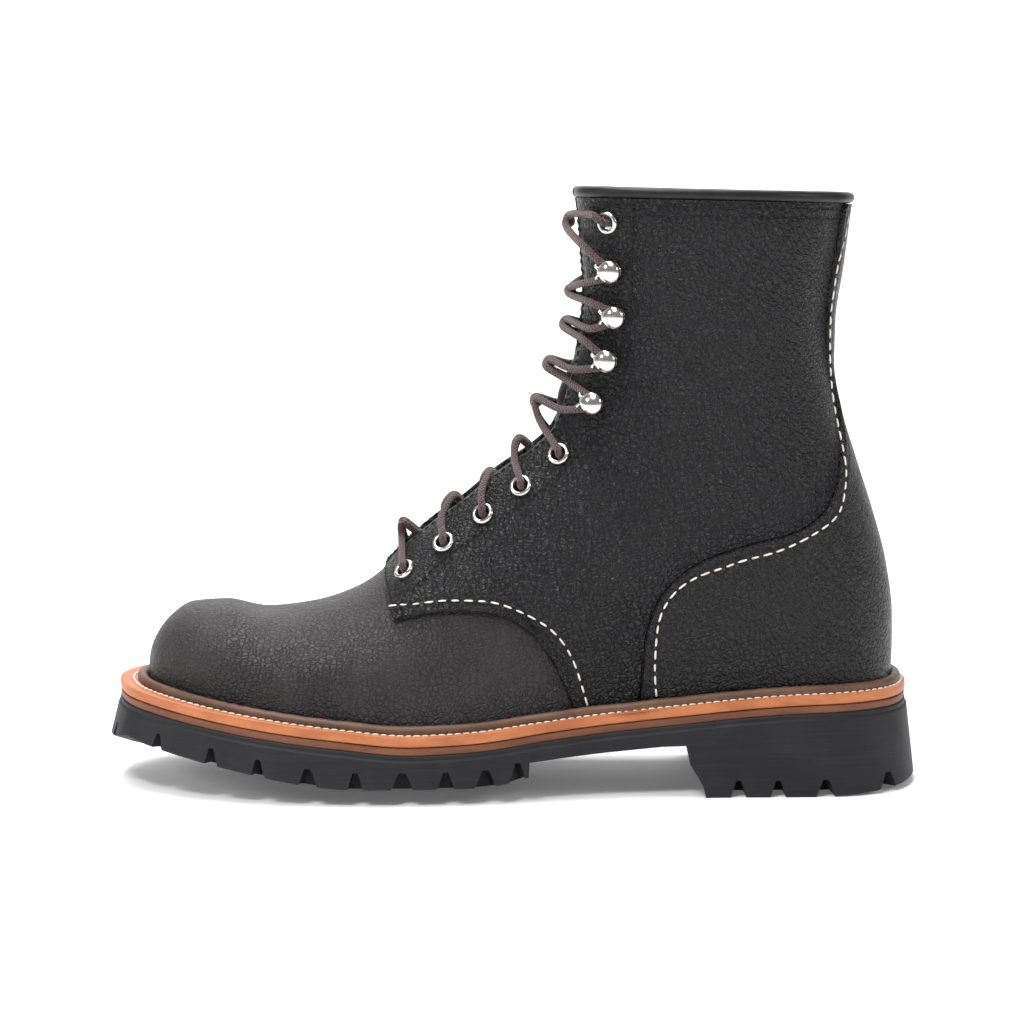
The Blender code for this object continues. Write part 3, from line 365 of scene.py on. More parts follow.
def reach_along(rows: np.ndarray) -> np.ndarray:
    """Distance covered along each row of places, from 0."""
    steps = np.linalg.norm(np.diff(rows, axis=1), axis=2)
    return np.concatenate([np.zeros((len(rows), 1)), np.cumsum(steps, 1)], axis=1)


def even(line: np.ndarray, spacing: float) -> np.ndarray:
    """Walk a line at even steps.

    Args:
        line: Places along it.
        spacing: Wanted step, rounded so that the ends are kept.

    Returns:
        Evenly spaced places.
    """
    reach = np.concatenate([[0], np.cumsum(np.linalg.norm(np.diff(line, axis=0), axis=1))])
    count = max(int(round(reach[-1] / spacing)), 2)
    marks = np.linspace(0, reach[-1], count + 1)
    return np.stack([np.interp(marks, reach, line[:, k]) for k in range(line.shape[1])], axis=1)


@dataclass
class Last:
    """The foot's shape that every leather piece follows."""

    length: float = 0.2855
    ball_width: float = 0.0950
    height: float = 0.2302
    heel_stand: float = 0.0328
    swell: float = 0.06
    throat_gap: float = 0.0190
    toe_ledge: float = 0.0113
    side_ledge: float = 0.0085
    heel_ledge: float = 0.0102
    toe_flare: float = 0.0039
    side_flare: float = 0.0016
    midsole: float = 0.0026
    welt: float = 0.0040
    clearance: float = 0.0003
    overlay: float = 0.0018
    counter_overlay: float = 0.0035
    low_columns: int = 3
    high_columns: int = 5
    sides: dict = field(default_factory=dict)

    def __post_init__(self) -> None:
        """Work out the plan outline once."""
        half = self.ball_width / 2
        lateral = [(row[0] * self.length, -row[1] * half) for row in OUTLINE]
        medial = [(row[0] * self.length, row[2] * half) for row in OUTLINE[-2:0:-1]]
        loop = through(lateral + medial, 24, closed=True)
        turn = (len(OUTLINE) - 1) * 24
        self.sides = {-1: loop[:turn + 1], 1: np.vstack([loop[:1], loop[:turn - 1:-1]])}
        widest = [np.max(-self.sides[-1][:, 1]), np.max(self.sides[1][:, 1])]
        for side in self.sides:
            self.sides[side] = self.sides[side] + np.array([self.toe_x, (widest[0] - widest[1]) / 2])

    @property
    def sole_length(self) -> float:
        """Length of the outsole."""
        return self.length + self.toe_ledge + self.heel_ledge + 2 * self.toe_flare

    @property
    def toe_x(self) -> float:
        """Where the last's toe lies."""
        return -self.sole_length / 2 + self.toe_flare + self.toe_ledge

    @property
    def last_row(self) -> int:
        """Number of the collar's section."""
        return len(SECTIONS) - 1

    def side_y(self, side: int, x: np.ndarray) -> np.ndarray:
        """Plan outline of one side at x."""
        line = self.sides[side]
        return np.interp(x, line[:, 0], line[:, 1])

    def edge(self, side: int, along: np.ndarray, outward: np.ndarray) -> np.ndarray:
        """Places of one side's outline, moved outward in plan.

        Args:
            side: -1 for the outer side of the foot, 1 for the inner one.
            along: Shares along the last.
            outward: Distances out from the outline.

        Returns:
            Plan places, one row each.
        """
        along, outward = np.broadcast_arrays(np.asarray(along, float), np.asarray(outward, float))
        line = self.sides[side]
        slope = np.gradient(line, axis=0)
        x = self.toe_x + along * self.length
        k = np.clip(np.searchsorted(line[:, 0], x), 1, len(line) - 1)
        share = ((x - line[k - 1, 0]) / np.maximum(line[k, 0] - line[k - 1, 0], 1e-9))[..., None]
        point = line[k - 1] * (1 - share) + line[k] * share
        tangent = slope[k - 1] * (1 - share) + slope[k] * share
        tangent = np.where((along <= 0)[..., None], np.array([0.0, side]), tangent)
        tangent = np.where((along >= 1)[..., None], np.array([0.0, -side]), tangent)
        tangent = tangent / np.linalg.norm(tangent, axis=-1, keepdims=True)
        normal = np.stack([-tangent[..., 1], tangent[..., 0]], axis=-1) * side
        return point + normal * outward[..., None]

    def rim(self, count: int, outward: Callable[[np.ndarray], np.ndarray]) -> tuple[np.ndarray, np.ndarray]:
        """Closed plan loop round the sole.

        Args:
            count: Places on the loop.
            outward: Distance out from the last as a function of the share along it.

        Returns:
            The plan places and the share along at each.
        """
        turn = np.arange(count) / count * 2 * math.pi
        along = (1 - np.cos(turn)) / 2
        lateral = self.edge(-1, along, outward(along))
        medial = self.edge(1, along, outward(along))
        return np.where((turn <= math.pi)[:, None], lateral, medial), along

    def sole_top(self, x: np.ndarray) -> np.ndarray:
        """Height of the outsole's top at x."""
        return self.heel_stand * read(SOLE_TOP, (x + self.sole_length / 2) / self.sole_length)

    def feather(self, x: np.ndarray) -> np.ndarray:
        """Height at which the upper meets the welt."""
        return self.sole_top(x) + self.midsole + self.welt + 3 * self.clearance

    def ledge(self, along: np.ndarray) -> np.ndarray:
        """Width of the sole outside the last."""
        toe, side, heel = self.toe_ledge, self.side_ledge, self.heel_ledge
        return read(((0.0, toe), (0.12, (toe + side) / 2), (0.3, side), (0.55, side),
                     (0.75, heel), (1.0, heel)),
                    along)

    def flare(self, along: np.ndarray) -> np.ndarray:
        """Outward lean of the rubber at its bottom."""
        toe, side = self.toe_flare, self.side_flare
        return read(((0.0, toe), (0.15, side), (0.85, side), (1.0, toe)), along)

    def cover(self, along: np.ndarray) -> np.ndarray:
        """Thickness of the overlays at the welt."""
        quarter, counter = self.clearance + self.overlay, self.clearance + self.counter_overlay
        return read(((0.0, 0.0), (0.50, 0.0), (0.56, quarter), (0.60, quarter),
                     (0.655, counter), (1.0, counter)),
                    along)

    def point(self, t: np.ndarray, phi: np.ndarray, side: int) -> np.ndarray:
        """Places on the surface.

        Args:
            t: 0 at the toe to 1 at the collar.
            phi: 0 at the feather line or the back to 1 at the ridge or the facing edge.
            side: -1 for the outer side of the foot, 1 for the inner one.

        Returns:
            The places, with x, y and z on the last axis.
        """
        t, phi = np.broadcast_arrays(np.asarray(t, float), np.asarray(phi, float))
        row = t * self.last_row
        keys = np.arange(len(SECTIONS), dtype=float)
        table = np.array(SECTIONS, float)
        value = {name: monotone(keys, table[:, k], row) for k, name in enumerate(SECTION_COLUMNS)}
        bx = self.toe_x + value["back_along"] * self.length
        on_foot = row <= HEEL_END_ROW + 1e-9
        lateral, medial = self.side_y(-1, bx), self.side_y(1, bx)
        feather = np.where(on_foot, (medial - lateral) / 2, 0.0)
        centre = np.where(on_foot, (medial + lateral) / 2, 0.0)
        bz = self.feather(bx) + value["climb"] * self.height
        fx = self.toe_x + value["front_along"] * self.length
        fz = value["front_height"] * self.height
        half_ball = self.ball_width / 2
        half = (value["follow"] * feather * (1 + self.swell)
                + (1 - value["follow"]) * value["half"] * half_ball)
        opened = np.sqrt(1 - (1 - np.clip((row - THROAT_ROW - 0.15) / 0.6, 0, 1)) ** 2)
        gap = opened * self.throat_gap / 2 * (0.86 + 0.3 * t)
        split = self.low_columns / (self.low_columns + self.high_columns)
        angle_low = (1 - np.clip(phi / split, 0, 1)) * math.pi / 2
        angle_high = np.clip((phi - split) / (1 - split), 0, 1) * math.pi / 2
        c_low = np.maximum(np.cos(angle_low), 0) ** (2 / value["low"])
        s_low = np.maximum(np.sin(angle_low), 0) ** (2 / value["low"])
        c_high = np.maximum(np.cos(angle_high), 0) ** (2 / value["high"])
        s_high = np.maximum(np.sin(angle_high), 0) ** (2 / value["high"])
        widest = value["widest"]
        low = phi < split
        q = np.where(low, widest * (1 - s_low), widest + (1 - widest) * s_high)
        width = np.where(low, feather + (half - feather) * c_low, gap + (half - gap) * c_high)
        middle = centre * (1 - q) ** 2 + value["lean"] * half_ball * (1 - (1 - q) ** 2)
        return np.stack([bx + (fx - bx) * q, middle + side * width, bz + (fz - bz) * q], axis=-1)

    def normal(self, t: np.ndarray, phi: np.ndarray, side: int) -> np.ndarray:
        """Outward unit normals of the surface."""
        t, phi = np.broadcast_arrays(np.asarray(t, float), np.asarray(phi, float))
        step = 0.002
        along = (self.point(np.minimum(t + step, 1), phi, side)
                 - self.point(np.maximum(t - step, 0), phi, side))
        turn = (self.point(t, np.minimum(phi + step, 1), side)
                - self.point(t, np.maximum(phi - step, 0), side))
        normal = np.cross(turn, along) * side
        return normal / np.maximum(np.linalg.norm(normal, axis=-1, keepdims=True), 1e-12)

    def raised(self, t: np.ndarray, phi: np.ndarray, side: int, lift: np.ndarray) -> np.ndarray:
        """Places moved out from the surface along its normals."""
        return self.point(t, phi, side) + self.normal(t, phi, side) * np.asarray(lift, float)[..., None]

    def locate(self, shares: np.ndarray, side: int) -> np.ndarray:
        """Find the surface places seen at given shares of the side view.

        Args:
            shares: Rows of share along the last and share of the boot's height.
            side: -1 for the outer side of the foot, 1 for the inner one.

        Returns:
            Rows of t and phi.
        """
        found = []
        for along, height in np.atleast_2d(np.asarray(shares, float)):
            x, z = self.toe_x + along * self.length, height * self.height
            t0, t1, p0, p1 = 0.0, 1.0, 0.0, 1.0
            for _ in range(5):
                t, p = np.meshgrid(np.linspace(t0, t1, 49), np.linspace(p0, p1, 33), indexing="ij")
                places = self.point(t, p, side)
                error = (places[..., 0] - x) ** 2 + (places[..., 2] - z) ** 2
                k = np.unravel_index(np.argmin(error), error.shape)
                dt, dp = (t1 - t0) / 12, (p1 - p0) / 10
                t0, t1 = max(t[k] - dt, 0), min(t[k] + dt, 1)
                p0, p1 = max(p[k] - dp, 0), min(p[k] + dp, 1)
            found.append((t[k], p[k]))
        return np.array(found)

    def to_place(self, shares: Sequence[Sequence[float]]) -> np.ndarray:
        """Turn side-view shares into metres."""
        return np.array([(self.toe_x + a * self.length, h * self.height) for a, h in shares])

    def to_shares(self, places: np.ndarray) -> np.ndarray:
        """Turn side-view metres into shares."""
        return np.stack([(places[:, 0] - self.toe_x) / self.length, places[:, 1] / self.height], axis=1)

    def beside(self, shares: Sequence[Sequence[float]], distance: float, steps: int = 6) -> np.ndarray:
        """Side-view line beside a curve.

        Args:
            shares: The curve's shares.
            distance: How far to its left it lies.
            steps: Steps on each span.

        Returns:
            The line's shares.
        """
        line = through(self.to_place(shares), steps)
        tangent = np.gradient(line, axis=0)
        tangent /= np.linalg.norm(tangent, axis=1)[:, None]
        return self.to_shares(line + np.stack([-tangent[:, 1], tangent[:, 0]], axis=1) * distance)


def deselect() -> None:
    """Leave nothing selected."""
    bpy.ops.object.select_all(action="DESELECT")


def take(piece: bpy.types.Object) -> None:
    """Select one piece and make it active."""
    deselect()
    piece.select_set(True)
    bpy.context.view_layer.objects.active = piece


def in_edit(piece: bpy.types.Object, *steps: Callable[[], object]) -> None:
    """Run edit-mode steps on the whole of a piece."""
    take(piece)
    bpy.ops.object.mode_set(mode="EDIT")
    bpy.ops.mesh.select_all(action="SELECT")
    for step in steps:
        step()
    bpy.ops.object.mode_set(mode="OBJECT")
    piece.select_set(False)


def weld(piece: bpy.types.Object, distance: float = 0.000005) -> None:
    """Merge what coincides and face the shell outwards."""
    in_edit(piece, lambda: bpy.ops.mesh.remove_doubles(threshold=distance),
            lambda: bpy.ops.mesh.dissolve_degenerate(threshold=distance),
            lambda: bpy.ops.mesh.normals_make_consistent(inside=False))


def smooth_shade(piece: bpy.types.Object, degrees: float = 40.0) -> None:
    """Smooth a piece, with its corners kept."""
    take(piece)
    bpy.ops.object.shade_smooth_by_angle(angle=math.radians(degrees))
    piece.select_set(False)


def apply_all(piece: bpy.types.Object) -> None:
    """Apply every modifier of a piece in order."""
    take(piece)
    for name in [modifier.name for modifier in piece.modifiers]:
        bpy.ops.object.modifier_apply(modifier=name)
    piece.select_set(False)


def sheet(name: str, places: np.ndarray) -> bpy.types.Object:
    """Lay a grid of faces over places.

    Args:
        name: Name of the piece.
        places: Places in rows and columns.

    Returns:
        The piece, with its grid as UV map.
    """
    rows, columns = places.shape[:2]
    deselect()
    bpy.ops.mesh.primitive_grid_add(x_subdivisions=columns - 1, y_subdivisions=rows - 1, size=1,
                                    calc_uvs=True, location=(0, 0, 0))
    piece = bpy.context.active_object
    piece.name = piece.data.name = name
    spots = np.ascontiguousarray(places.reshape(-1, 3), dtype=np.float32).ravel()
    piece.data.vertices.foreach_set("co", spots)
    piece.data.update()
    piece.select_set(False)
    return piece


def outward(piece: bpy.types.Object, inside: Sequence[float] = (0, 0, 0), level: bool = True) -> None:
    """Turn an open sheet's faces away from a place or from the boot's middle plane.

    Args:
        piece: The sheet.
        inside: A place inside the boot.
        level: Whether only the direction across the boot counts.
    """
    middle = Vector(inside)
    total = 0.0
    for face in piece.data.polygons:
        away = face.center - middle
        total += face.area * (face.normal.y * away.y if level else face.normal.dot(away))
    if total < 0:
        piece.data.flip_normals()


def join(name: str, pieces: Sequence[bpy.types.Object]) -> bpy.types.Object:
    """Join pieces into one under a name."""
    deselect()
    for piece in pieces:
        piece.select_set(True)
    bpy.context.view_layer.objects.active = pieces[0]
    bpy.ops.object.join()
    pieces[0].name = pieces[0].data.name = name
    pieces[0].select_set(False)
    return pieces[0]


def thicken(piece: bpy.types.Object, thickness: float, offset: float, even_walls: bool = False,
            inner: int = 0, rim: int = 0) -> None:
    """Give an open sheet its wall.

    Args:
        piece: The sheet.
        thickness: Wall thickness.
        offset: -1 for a wall that grows inwards, 1 outwards.
        even_walls: Whether corners keep the thickness.
        inner: Material step of the inner face.
        rim: Material step of the rim.
    """
    wall = piece.modifiers.new("Wall", "SOLIDIFY")
    wall.thickness = thickness
    wall.offset = offset
    wall.use_even_offset = even_walls
    wall.material_offset = inner
    wall.material_offset_rim = rim
    apply_all(piece)


def cut(piece: bpy.types.Object, tool: bpy.types.Object, operation: str = "DIFFERENCE") -> None:
    """Cut a piece by a tool and put the tool away."""
    knife = piece.modifiers.new("Cut", "BOOLEAN")
    knife.operation = operation
    knife.solver = "EXACT"
    knife.object = tool
    apply_all(piece)
    bpy.data.objects.remove(tool, do_unlink=True)


def frames(line: np.ndarray) -> tuple[np.ndarray, np.ndarray, np.ndarray]:
    """Tangents and two steady cross directions along a line."""
    tangent = np.gradient(line, axis=0)
    tangent /= np.maximum(np.linalg.norm(tangent, axis=1, keepdims=True), 1e-12)
    first = np.cross(tangent[0], (0.0, 0.31, 0.95))
    first /= np.linalg.norm(first)
    cross = [first]
    for k in range(1, len(line)):
        turned = cross[-1] - tangent[k] * np.dot(cross[-1], tangent[k])
        cross.append(turned / max(np.linalg.norm(turned), 1e-12))
    cross = np.array(cross)
    return tangent, cross, np.cross(tangent, cross)


def tube(name: str, line: np.ndarray, radius: np.ndarray, round_steps: int = 14,
         caps: bool = True) -> bpy.types.Object:
    """Round cord along a line, with its own UV map: once round, and its length in girths.

    Args:
        name: Name of the piece.
        line: The places that it follows.
        radius: Its radius, or one radius for each place.
        round_steps: Faces round it.
        caps: Whether its ends are rounded shut.

    Returns:
        The piece.
    """
    radius = np.broadcast_to(np.asarray(radius, float), (len(line),)).copy()
    tangent, cross, other = frames(line)
    if caps:
        ends = np.array([0.0, 0.55, 0.85])
        shrink = np.sqrt(1 - (1 - ends) ** 2)
        start = [line[0] - tangent[0] * radius[0] * (1 - e) for e in ends]
        finish = [line[-1] + tangent[-1] * radius[-1] * (1 - e) for e in ends[::-1]]
        line = np.vstack([start, line, finish])
        radius = np.concatenate([radius[0] * shrink, radius, radius[-1] * shrink[::-1]])
        cross = np.vstack([np.repeat(cross[:1], 3, 0), cross, np.repeat(cross[-1:], 3, 0)])
        other = np.vstack([np.repeat(other[:1], 3, 0), other, np.repeat(other[-1:], 3, 0)])
    turn = np.linspace(0, 2 * math.pi, round_steps + 1)
    places = (line[:, None] + cross[:, None] * np.cos(turn)[None, :, None] * radius[:, None, None]
              + other[:, None] * np.sin(turn)[None, :, None] * radius[:, None, None])
    piece = sheet(name, places)
    reach = np.concatenate([[0], np.cumsum(np.linalg.norm(np.diff(line, axis=0), axis=1))])
    along = np.interp(np.linspace(0, 1, len(line)), np.linspace(0, 1, len(line)), reach)
    uv = np.empty(len(piece.data.loops) * 2, dtype=np.float32)
    piece.data.uv_layers[0].data.foreach_get("uv", uv)
    uv = uv.reshape(-1, 2)
    girth = 2 * math.pi * float(np.max(radius))
    uv[:, 1] = np.interp(uv[:, 1], np.linspace(0, 1, len(line)), along) / girth
    piece.data.uv_layers[0].data.foreach_set("uv", uv.ravel())
    weld(piece)
    smooth_shade(piece, 60)
    return piece


def revolve(name: str, profile: Sequence[Sequence[float]], steps: int = 40) -> bpy.types.Object:
    """Turn a profile of radius and height about Z.

    Args:
        name: Name of the piece.
        profile: Rows of radius and height, from the inside outwards.
        steps: Faces round it.

    Returns:
        The closed piece at the origin.
    """
    turn = np.linspace(0, 2 * math.pi, steps + 1)
    rows = np.array(profile, float)
    places = np.stack([rows[:, None, 0] * np.cos(turn), rows[:, None, 0] * np.sin(turn),
                       np.broadcast_to(rows[:, None, 1], (len(rows), steps + 1))], axis=-1)
    piece = sheet(name, places)
    weld(piece)
    smooth_shade(piece, 50)
    return piece


def copy_at(name: str, master: bpy.types.Object, places: Sequence[Matrix]) -> bpy.types.Object:
    """Copy a master's mesh to many places as one piece.

    Args:
        name: Name of the piece.
        master: What is copied.
        places: One matrix for each copy.

    Returns:
        The joined copies.
    """
    mesh = master.data
    co = np.empty(len(mesh.vertices) * 3)
    mesh.vertices.foreach_get("co", co)
    co = np.c_[co.reshape(-1, 3), np.ones(len(mesh.vertices))]
    faces = [tuple(face.vertices) for face in mesh.polygons]
    verts, all_faces = [], []
    for k, place in enumerate(places):
        verts.append((co @ np.array(place).T)[:, :3])
        all_faces += [tuple(v + k * len(co) for v in face) for face in faces]
    made = bpy.data.meshes.new(name)
    made.from_pydata(np.vstack(verts).tolist(), [], all_faces)
    made.update()
    piece = bpy.data.objects.new(name, made)
    bpy.context.scene.collection.objects.link(piece)
    smooth_shade(piece, 60)
    return piece


def matrix(place: np.ndarray, x_axis: np.ndarray, y_axis: np.ndarray, z_axis: np.ndarray) -> Matrix:
    """Matrix from a place and three axes."""
    rows = [[x_axis[k], y_axis[k], z_axis[k], place[k]] for k in range(3)]
    return Matrix(rows + [[0, 0, 0, 1]])


class Socket:
    """A shader socket that takes part in Python expressions."""

    def __init__(self, finish: "Finish", socket: bpy.types.NodeSocket) -> None:
        """Keep the socket and the finish that it belongs to."""
        self.finish = finish
        self.socket = socket

    def maths(self, operation: str, *values: object) -> "Socket":
        """Add a Math node for an operation on values."""
        return self.finish.node("ShaderNodeMath", {"operation": operation}, dict(enumerate(values)))

    def __add__(self, other: object) -> "Socket":
        """Sum."""
        return self.maths("ADD", self, other)

    def __radd__(self, other: object) -> "Socket":
        """Reflected sum."""
        return self.maths("ADD", other, self)

    def __sub__(self, other: object) -> "Socket":
        """Difference."""
        return self.maths("SUBTRACT", self, other)

    def __rsub__(self, other: object) -> "Socket":
        """Reflected difference."""
        return self.maths("SUBTRACT", other, self)

    def __mul__(self, other: object) -> "Socket":
        """Product."""
        return self.maths("MULTIPLY", self, other)

    def __rmul__(self, other: object) -> "Socket":
        """Reflected product."""
        return self.maths("MULTIPLY", other, self)

    def __pow__(self, other: object) -> "Socket":
        """Power."""
        return self.maths("POWER", self, other)

    def sine(self) -> "Socket":
        """Sine of the value."""
        return self.maths("SINE", self)

    def least(self, other: object) -> "Socket":
        """The smaller of two values."""
        return self.maths("MINIMUM", self, other)

    def greatest(self, other: object) -> "Socket":
        """The larger of two values."""
        return self.maths("MAXIMUM", self, other)

    def between(self, low: float, high: float) -> "Socket":
        """Soft step from 0 to 1 between two values."""
        return self.finish.node("ShaderNodeMapRange", {"interpolation_type": "SMOOTHSTEP"},
                                {"Value": self, "From Min": low, "From Max": high})


class Finish:
    """A procedural material under construction."""

    def __init__(self, name: str) -> None:
        """Start an empty Principled material."""
        self.material = bpy.data.materials.new(name)
        self.material.use_nodes = True
        self.tree = self.material.node_tree
        self.shader = self.tree.nodes["Principled BSDF"]

    def node(self, kind: str, settings: Optional[dict] = None, values: Optional[dict] = None,
             output: object = 0, stops: Optional[Sequence[tuple]] = None) -> Socket:
        """Add any node.

        Args:
            kind: The node's type.
            settings: Properties that are set first.
            values: Value or link of each socket, by name or number.
            output: Which output is returned.
            stops: A ramp's stops as place and colour.

        Returns:
            The wrapped output.
        """
        made = self.tree.nodes.new(kind)
        for key, value in (settings or {}).items():
            setattr(made, key, value)
        if stops:
            ramp = made.color_ramp
            while len(ramp.elements) < len(stops):
                ramp.elements.new(0.5)
            for element, (place, colour) in zip(ramp.elements, stops):
                element.position = place
                element.color = (*colour, 1.0) if len(colour) == 3 else colour
        for key, value in (values or {}).items():
            self.feed(made.inputs[key], value)
        return Socket(self, made.outputs[output])

    def feed(self, target: bpy.types.NodeSocket, value: object) -> None:
        """Set or link one socket."""
        if isinstance(value, Socket):
            self.tree.links.new(value.socket, target)
        else:
            target.default_value = value

    def put(self, **values: object) -> None:
        """Set or link the shader's sockets, named with underscores."""
        for key, value in values.items():
            self.feed(self.shader.inputs[key.replace("_", " ")], value)

    def place(self, stretch: Sequence[float] = (1, 1, 1), kind: str = "Object",
              turn: Sequence[float] = (0, 0, 0)) -> Socket:
        """Coordinates, stretched and turned."""
        source = self.node("ShaderNodeTexCoord", output=kind)
        return self.node("ShaderNodeMapping", values={"Vector": source, "Scale": stretch, "Rotation": turn})

    def noise(self, where: Socket, scale: float, detail: float = 3.0, rough: float = 0.5,
              twist: float = 0.0) -> Socket:
        """Noise from about 0 to 1."""
        return self.node("ShaderNodeTexNoise", None, {"Vector": where, "Scale": scale, "Detail": detail,
                                                      "Roughness": rough, "Distortion": twist}, "Fac")

    def cells(self, where: Socket, scale: float, feature: str = "DISTANCE_TO_EDGE",
              random: float = 1.0) -> Socket:
        """Distance inside cells."""
        return self.node("ShaderNodeTexVoronoi", {"feature": feature},
                         {"Vector": where, "Scale": scale, "Randomness": random}, "Distance")

    def bent(self, where: Socket, scale: float, amount: float) -> Socket:
        """Coordinates pushed about by noise."""
        push = self.node("ShaderNodeTexNoise", None,
                         {"Vector": where, "Scale": scale, "Detail": 2.0}, "Color")
        centred = self.node("ShaderNodeVectorMath", {"operation": "SUBTRACT"},
                            {0: push, 1: (0.5, 0.5, 0.5)})
        scaled = self.node("ShaderNodeVectorMath", {"operation": "SCALE"}, {0: centred, "Scale": amount})
        return self.node("ShaderNodeVectorMath", {"operation": "ADD"}, {0: where, 1: scaled})

    def blend(self, factor: object, first: object, second: object) -> Socket:
        """Mix two colours."""
        values = {0: factor}
        for key, colour in ((6, first), (7, second)):
            values[key] = colour if isinstance(colour, Socket) else (*colour, 1.0)
        return self.node("ShaderNodeMix", {"data_type": "RGBA"}, values, 2)

    def bump(self, height: Socket, distance: float, strength: float = 1.0,
             under: Optional[Socket] = None) -> Socket:
        """Normal from a height."""
        values = {"Height": height, "Distance": distance, "Strength": strength}
        if under is not None:
            values["Normal"] = under
        return self.node("ShaderNodeBump", None, values)


@dataclass(frozen=True)
class Leather:
    """Pebbled or smooth leather."""

    name: str
    colour: tuple = (0.0044, 0.0043, 0.0058)
    light: tuple = (0.0080, 0.0077, 0.0098)
    grain: float = 430.0
    depth: float = 0.00085
    fine: float = 0.00005
    roughness: float = 0.32
    spread: float = 0.12
    stretch: tuple = (1.0, 1.0, 1.0)
    gloss: float = 0.32

    def make(self) -> bpy.types.Material:
        """Build the material."""
        finish = Finish(self.name)
        where = finish.place(self.stretch)
        pushed = finish.bent(finish.bent(where, self.grain * 0.22, 1.3 / self.grain), self.grain * 0.9,
                             0.55 / self.grain)
        pebbles = finish.cells(pushed, self.grain, random=0.95).between(0.0, 0.17)
        broken = finish.cells(finish.bent(where, self.grain * 0.8, 1.1 / self.grain), self.grain * 1.9)
        broken = broken.between(0.0, 0.3)
        patches = finish.noise(where, self.grain * 0.09, 3.0, 0.6).between(0.36, 0.64)
        folds = finish.noise(pushed, self.grain * 0.7, 3.0, 0.55, 0.6)
        grain = pebbles * (0.55 + 0.45 * patches) + broken * 0.30 + folds * 0.9
        pores = finish.noise(where, self.grain * 6, 2.0, 0.6)
        lift = finish.bump(grain, self.depth, 1.0)
        lift = finish.bump(pores, self.fine, 0.6, lift)
        broad = finish.noise(where, 38.0, 3.0, 0.55)
        tone = finish.blend(broad.between(0.3, 0.75), self.colour, self.light)
        # Painted shade: the leather is darkened towards half its colour in the creases between the pebbles,
        # more in some patches.
        dark = tuple(c * 0.5 for c in self.colour)
        tone = finish.blend((1 - pebbles) * 0.4 * patches, tone, dark)
        shine = self.roughness + self.spread * (broad - 0.5) + 0.10 * (1 - pebbles)
        finish.put(Base_Color=tone, Roughness=shine, Normal=lift, Specular_IOR_Level=self.gloss)
        return finish.material


@dataclass(frozen=True)
class Plain:
    """Dressed edge, thread or cloth with a grain of its own."""

    name: str
    colour: tuple
    dark: tuple
    roughness: float = 0.6
    grain: float = 900.0
    depth: float = 0.00008
    stretch: tuple = (1.0, 1.0, 1.0)
    sheen: float = 0.0

    def make(self) -> bpy.types.Material:
        """Build the material."""
        finish = Finish(self.name)
        where = finish.place(self.stretch)
        fibre = finish.noise(where, self.grain, 3.0, 0.65)
        broad = finish.noise(where, self.grain * 0.08, 3.0, 0.55)
        tone = finish.blend(broad.between(0.32, 0.7) * 0.75 + fibre.between(0.3, 0.7) * 0.25, self.dark,
                            self.colour)
        finish.put(Base_Color=tone, Roughness=self.roughness + 0.18 * (fibre - 0.5),
                   Normal=finish.bump(fibre, self.depth, 0.8), Sheen_Weight=self.sheen)
        return finish.material


@dataclass(frozen=True)
class Rubber:
    """Lug rubber: ground at its edge, moulded below."""

    name: str
    colour: tuple = (0.006, 0.006, 0.0075)
    dust: tuple = (0.018, 0.018, 0.022)

    def make(self) -> bpy.types.Material:
        """Build the material."""
        finish = Finish(self.name)
        streaks = finish.noise(finish.place((40, 40, 1500)), 1.0, 3.0, 0.7)
        where = finish.place()
        speck = finish.noise(where, 2400.0, 2.0, 0.6)
        broad = finish.noise(where, 45.0, 3.0, 0.6)
        scuff = (broad.between(0.42, 0.72) * 0.5 + streaks.between(0.4, 0.75) * 0.5).least(1.0)
        tone = finish.blend(scuff * 0.8, self.colour, self.dust)
        lift = finish.bump(streaks, 0.00018, 0.7)
        lift = finish.bump(speck, 0.00006, 0.6, lift)
        finish.put(Base_Color=tone, Roughness=0.62 + 0.2 * (speck - 0.5), Normal=lift,
                   Specular_IOR_Level=0.35)
        return finish.material


@dataclass(frozen=True)
class Metal:
    """Polished nickel with handling marks."""

    name: str
    colour: tuple = (0.70, 0.68, 0.63)

    def make(self) -> bpy.types.Material:
        """Build the material."""
        finish = Finish(self.name)
        where = finish.place()
        marks = finish.noise(where, 700.0, 3.0, 0.6)
        tone = finish.blend(marks.between(0.45, 0.8) * 0.5, self.colour, tuple(c * 0.7 for c in self.colour))
        finish.put(Base_Color=tone, Metallic=1.0, Roughness=0.16 + 0.16 * marks.between(0.4, 0.8),
                   Normal=finish.bump(marks, 0.00003, 0.5))
        return finish.material


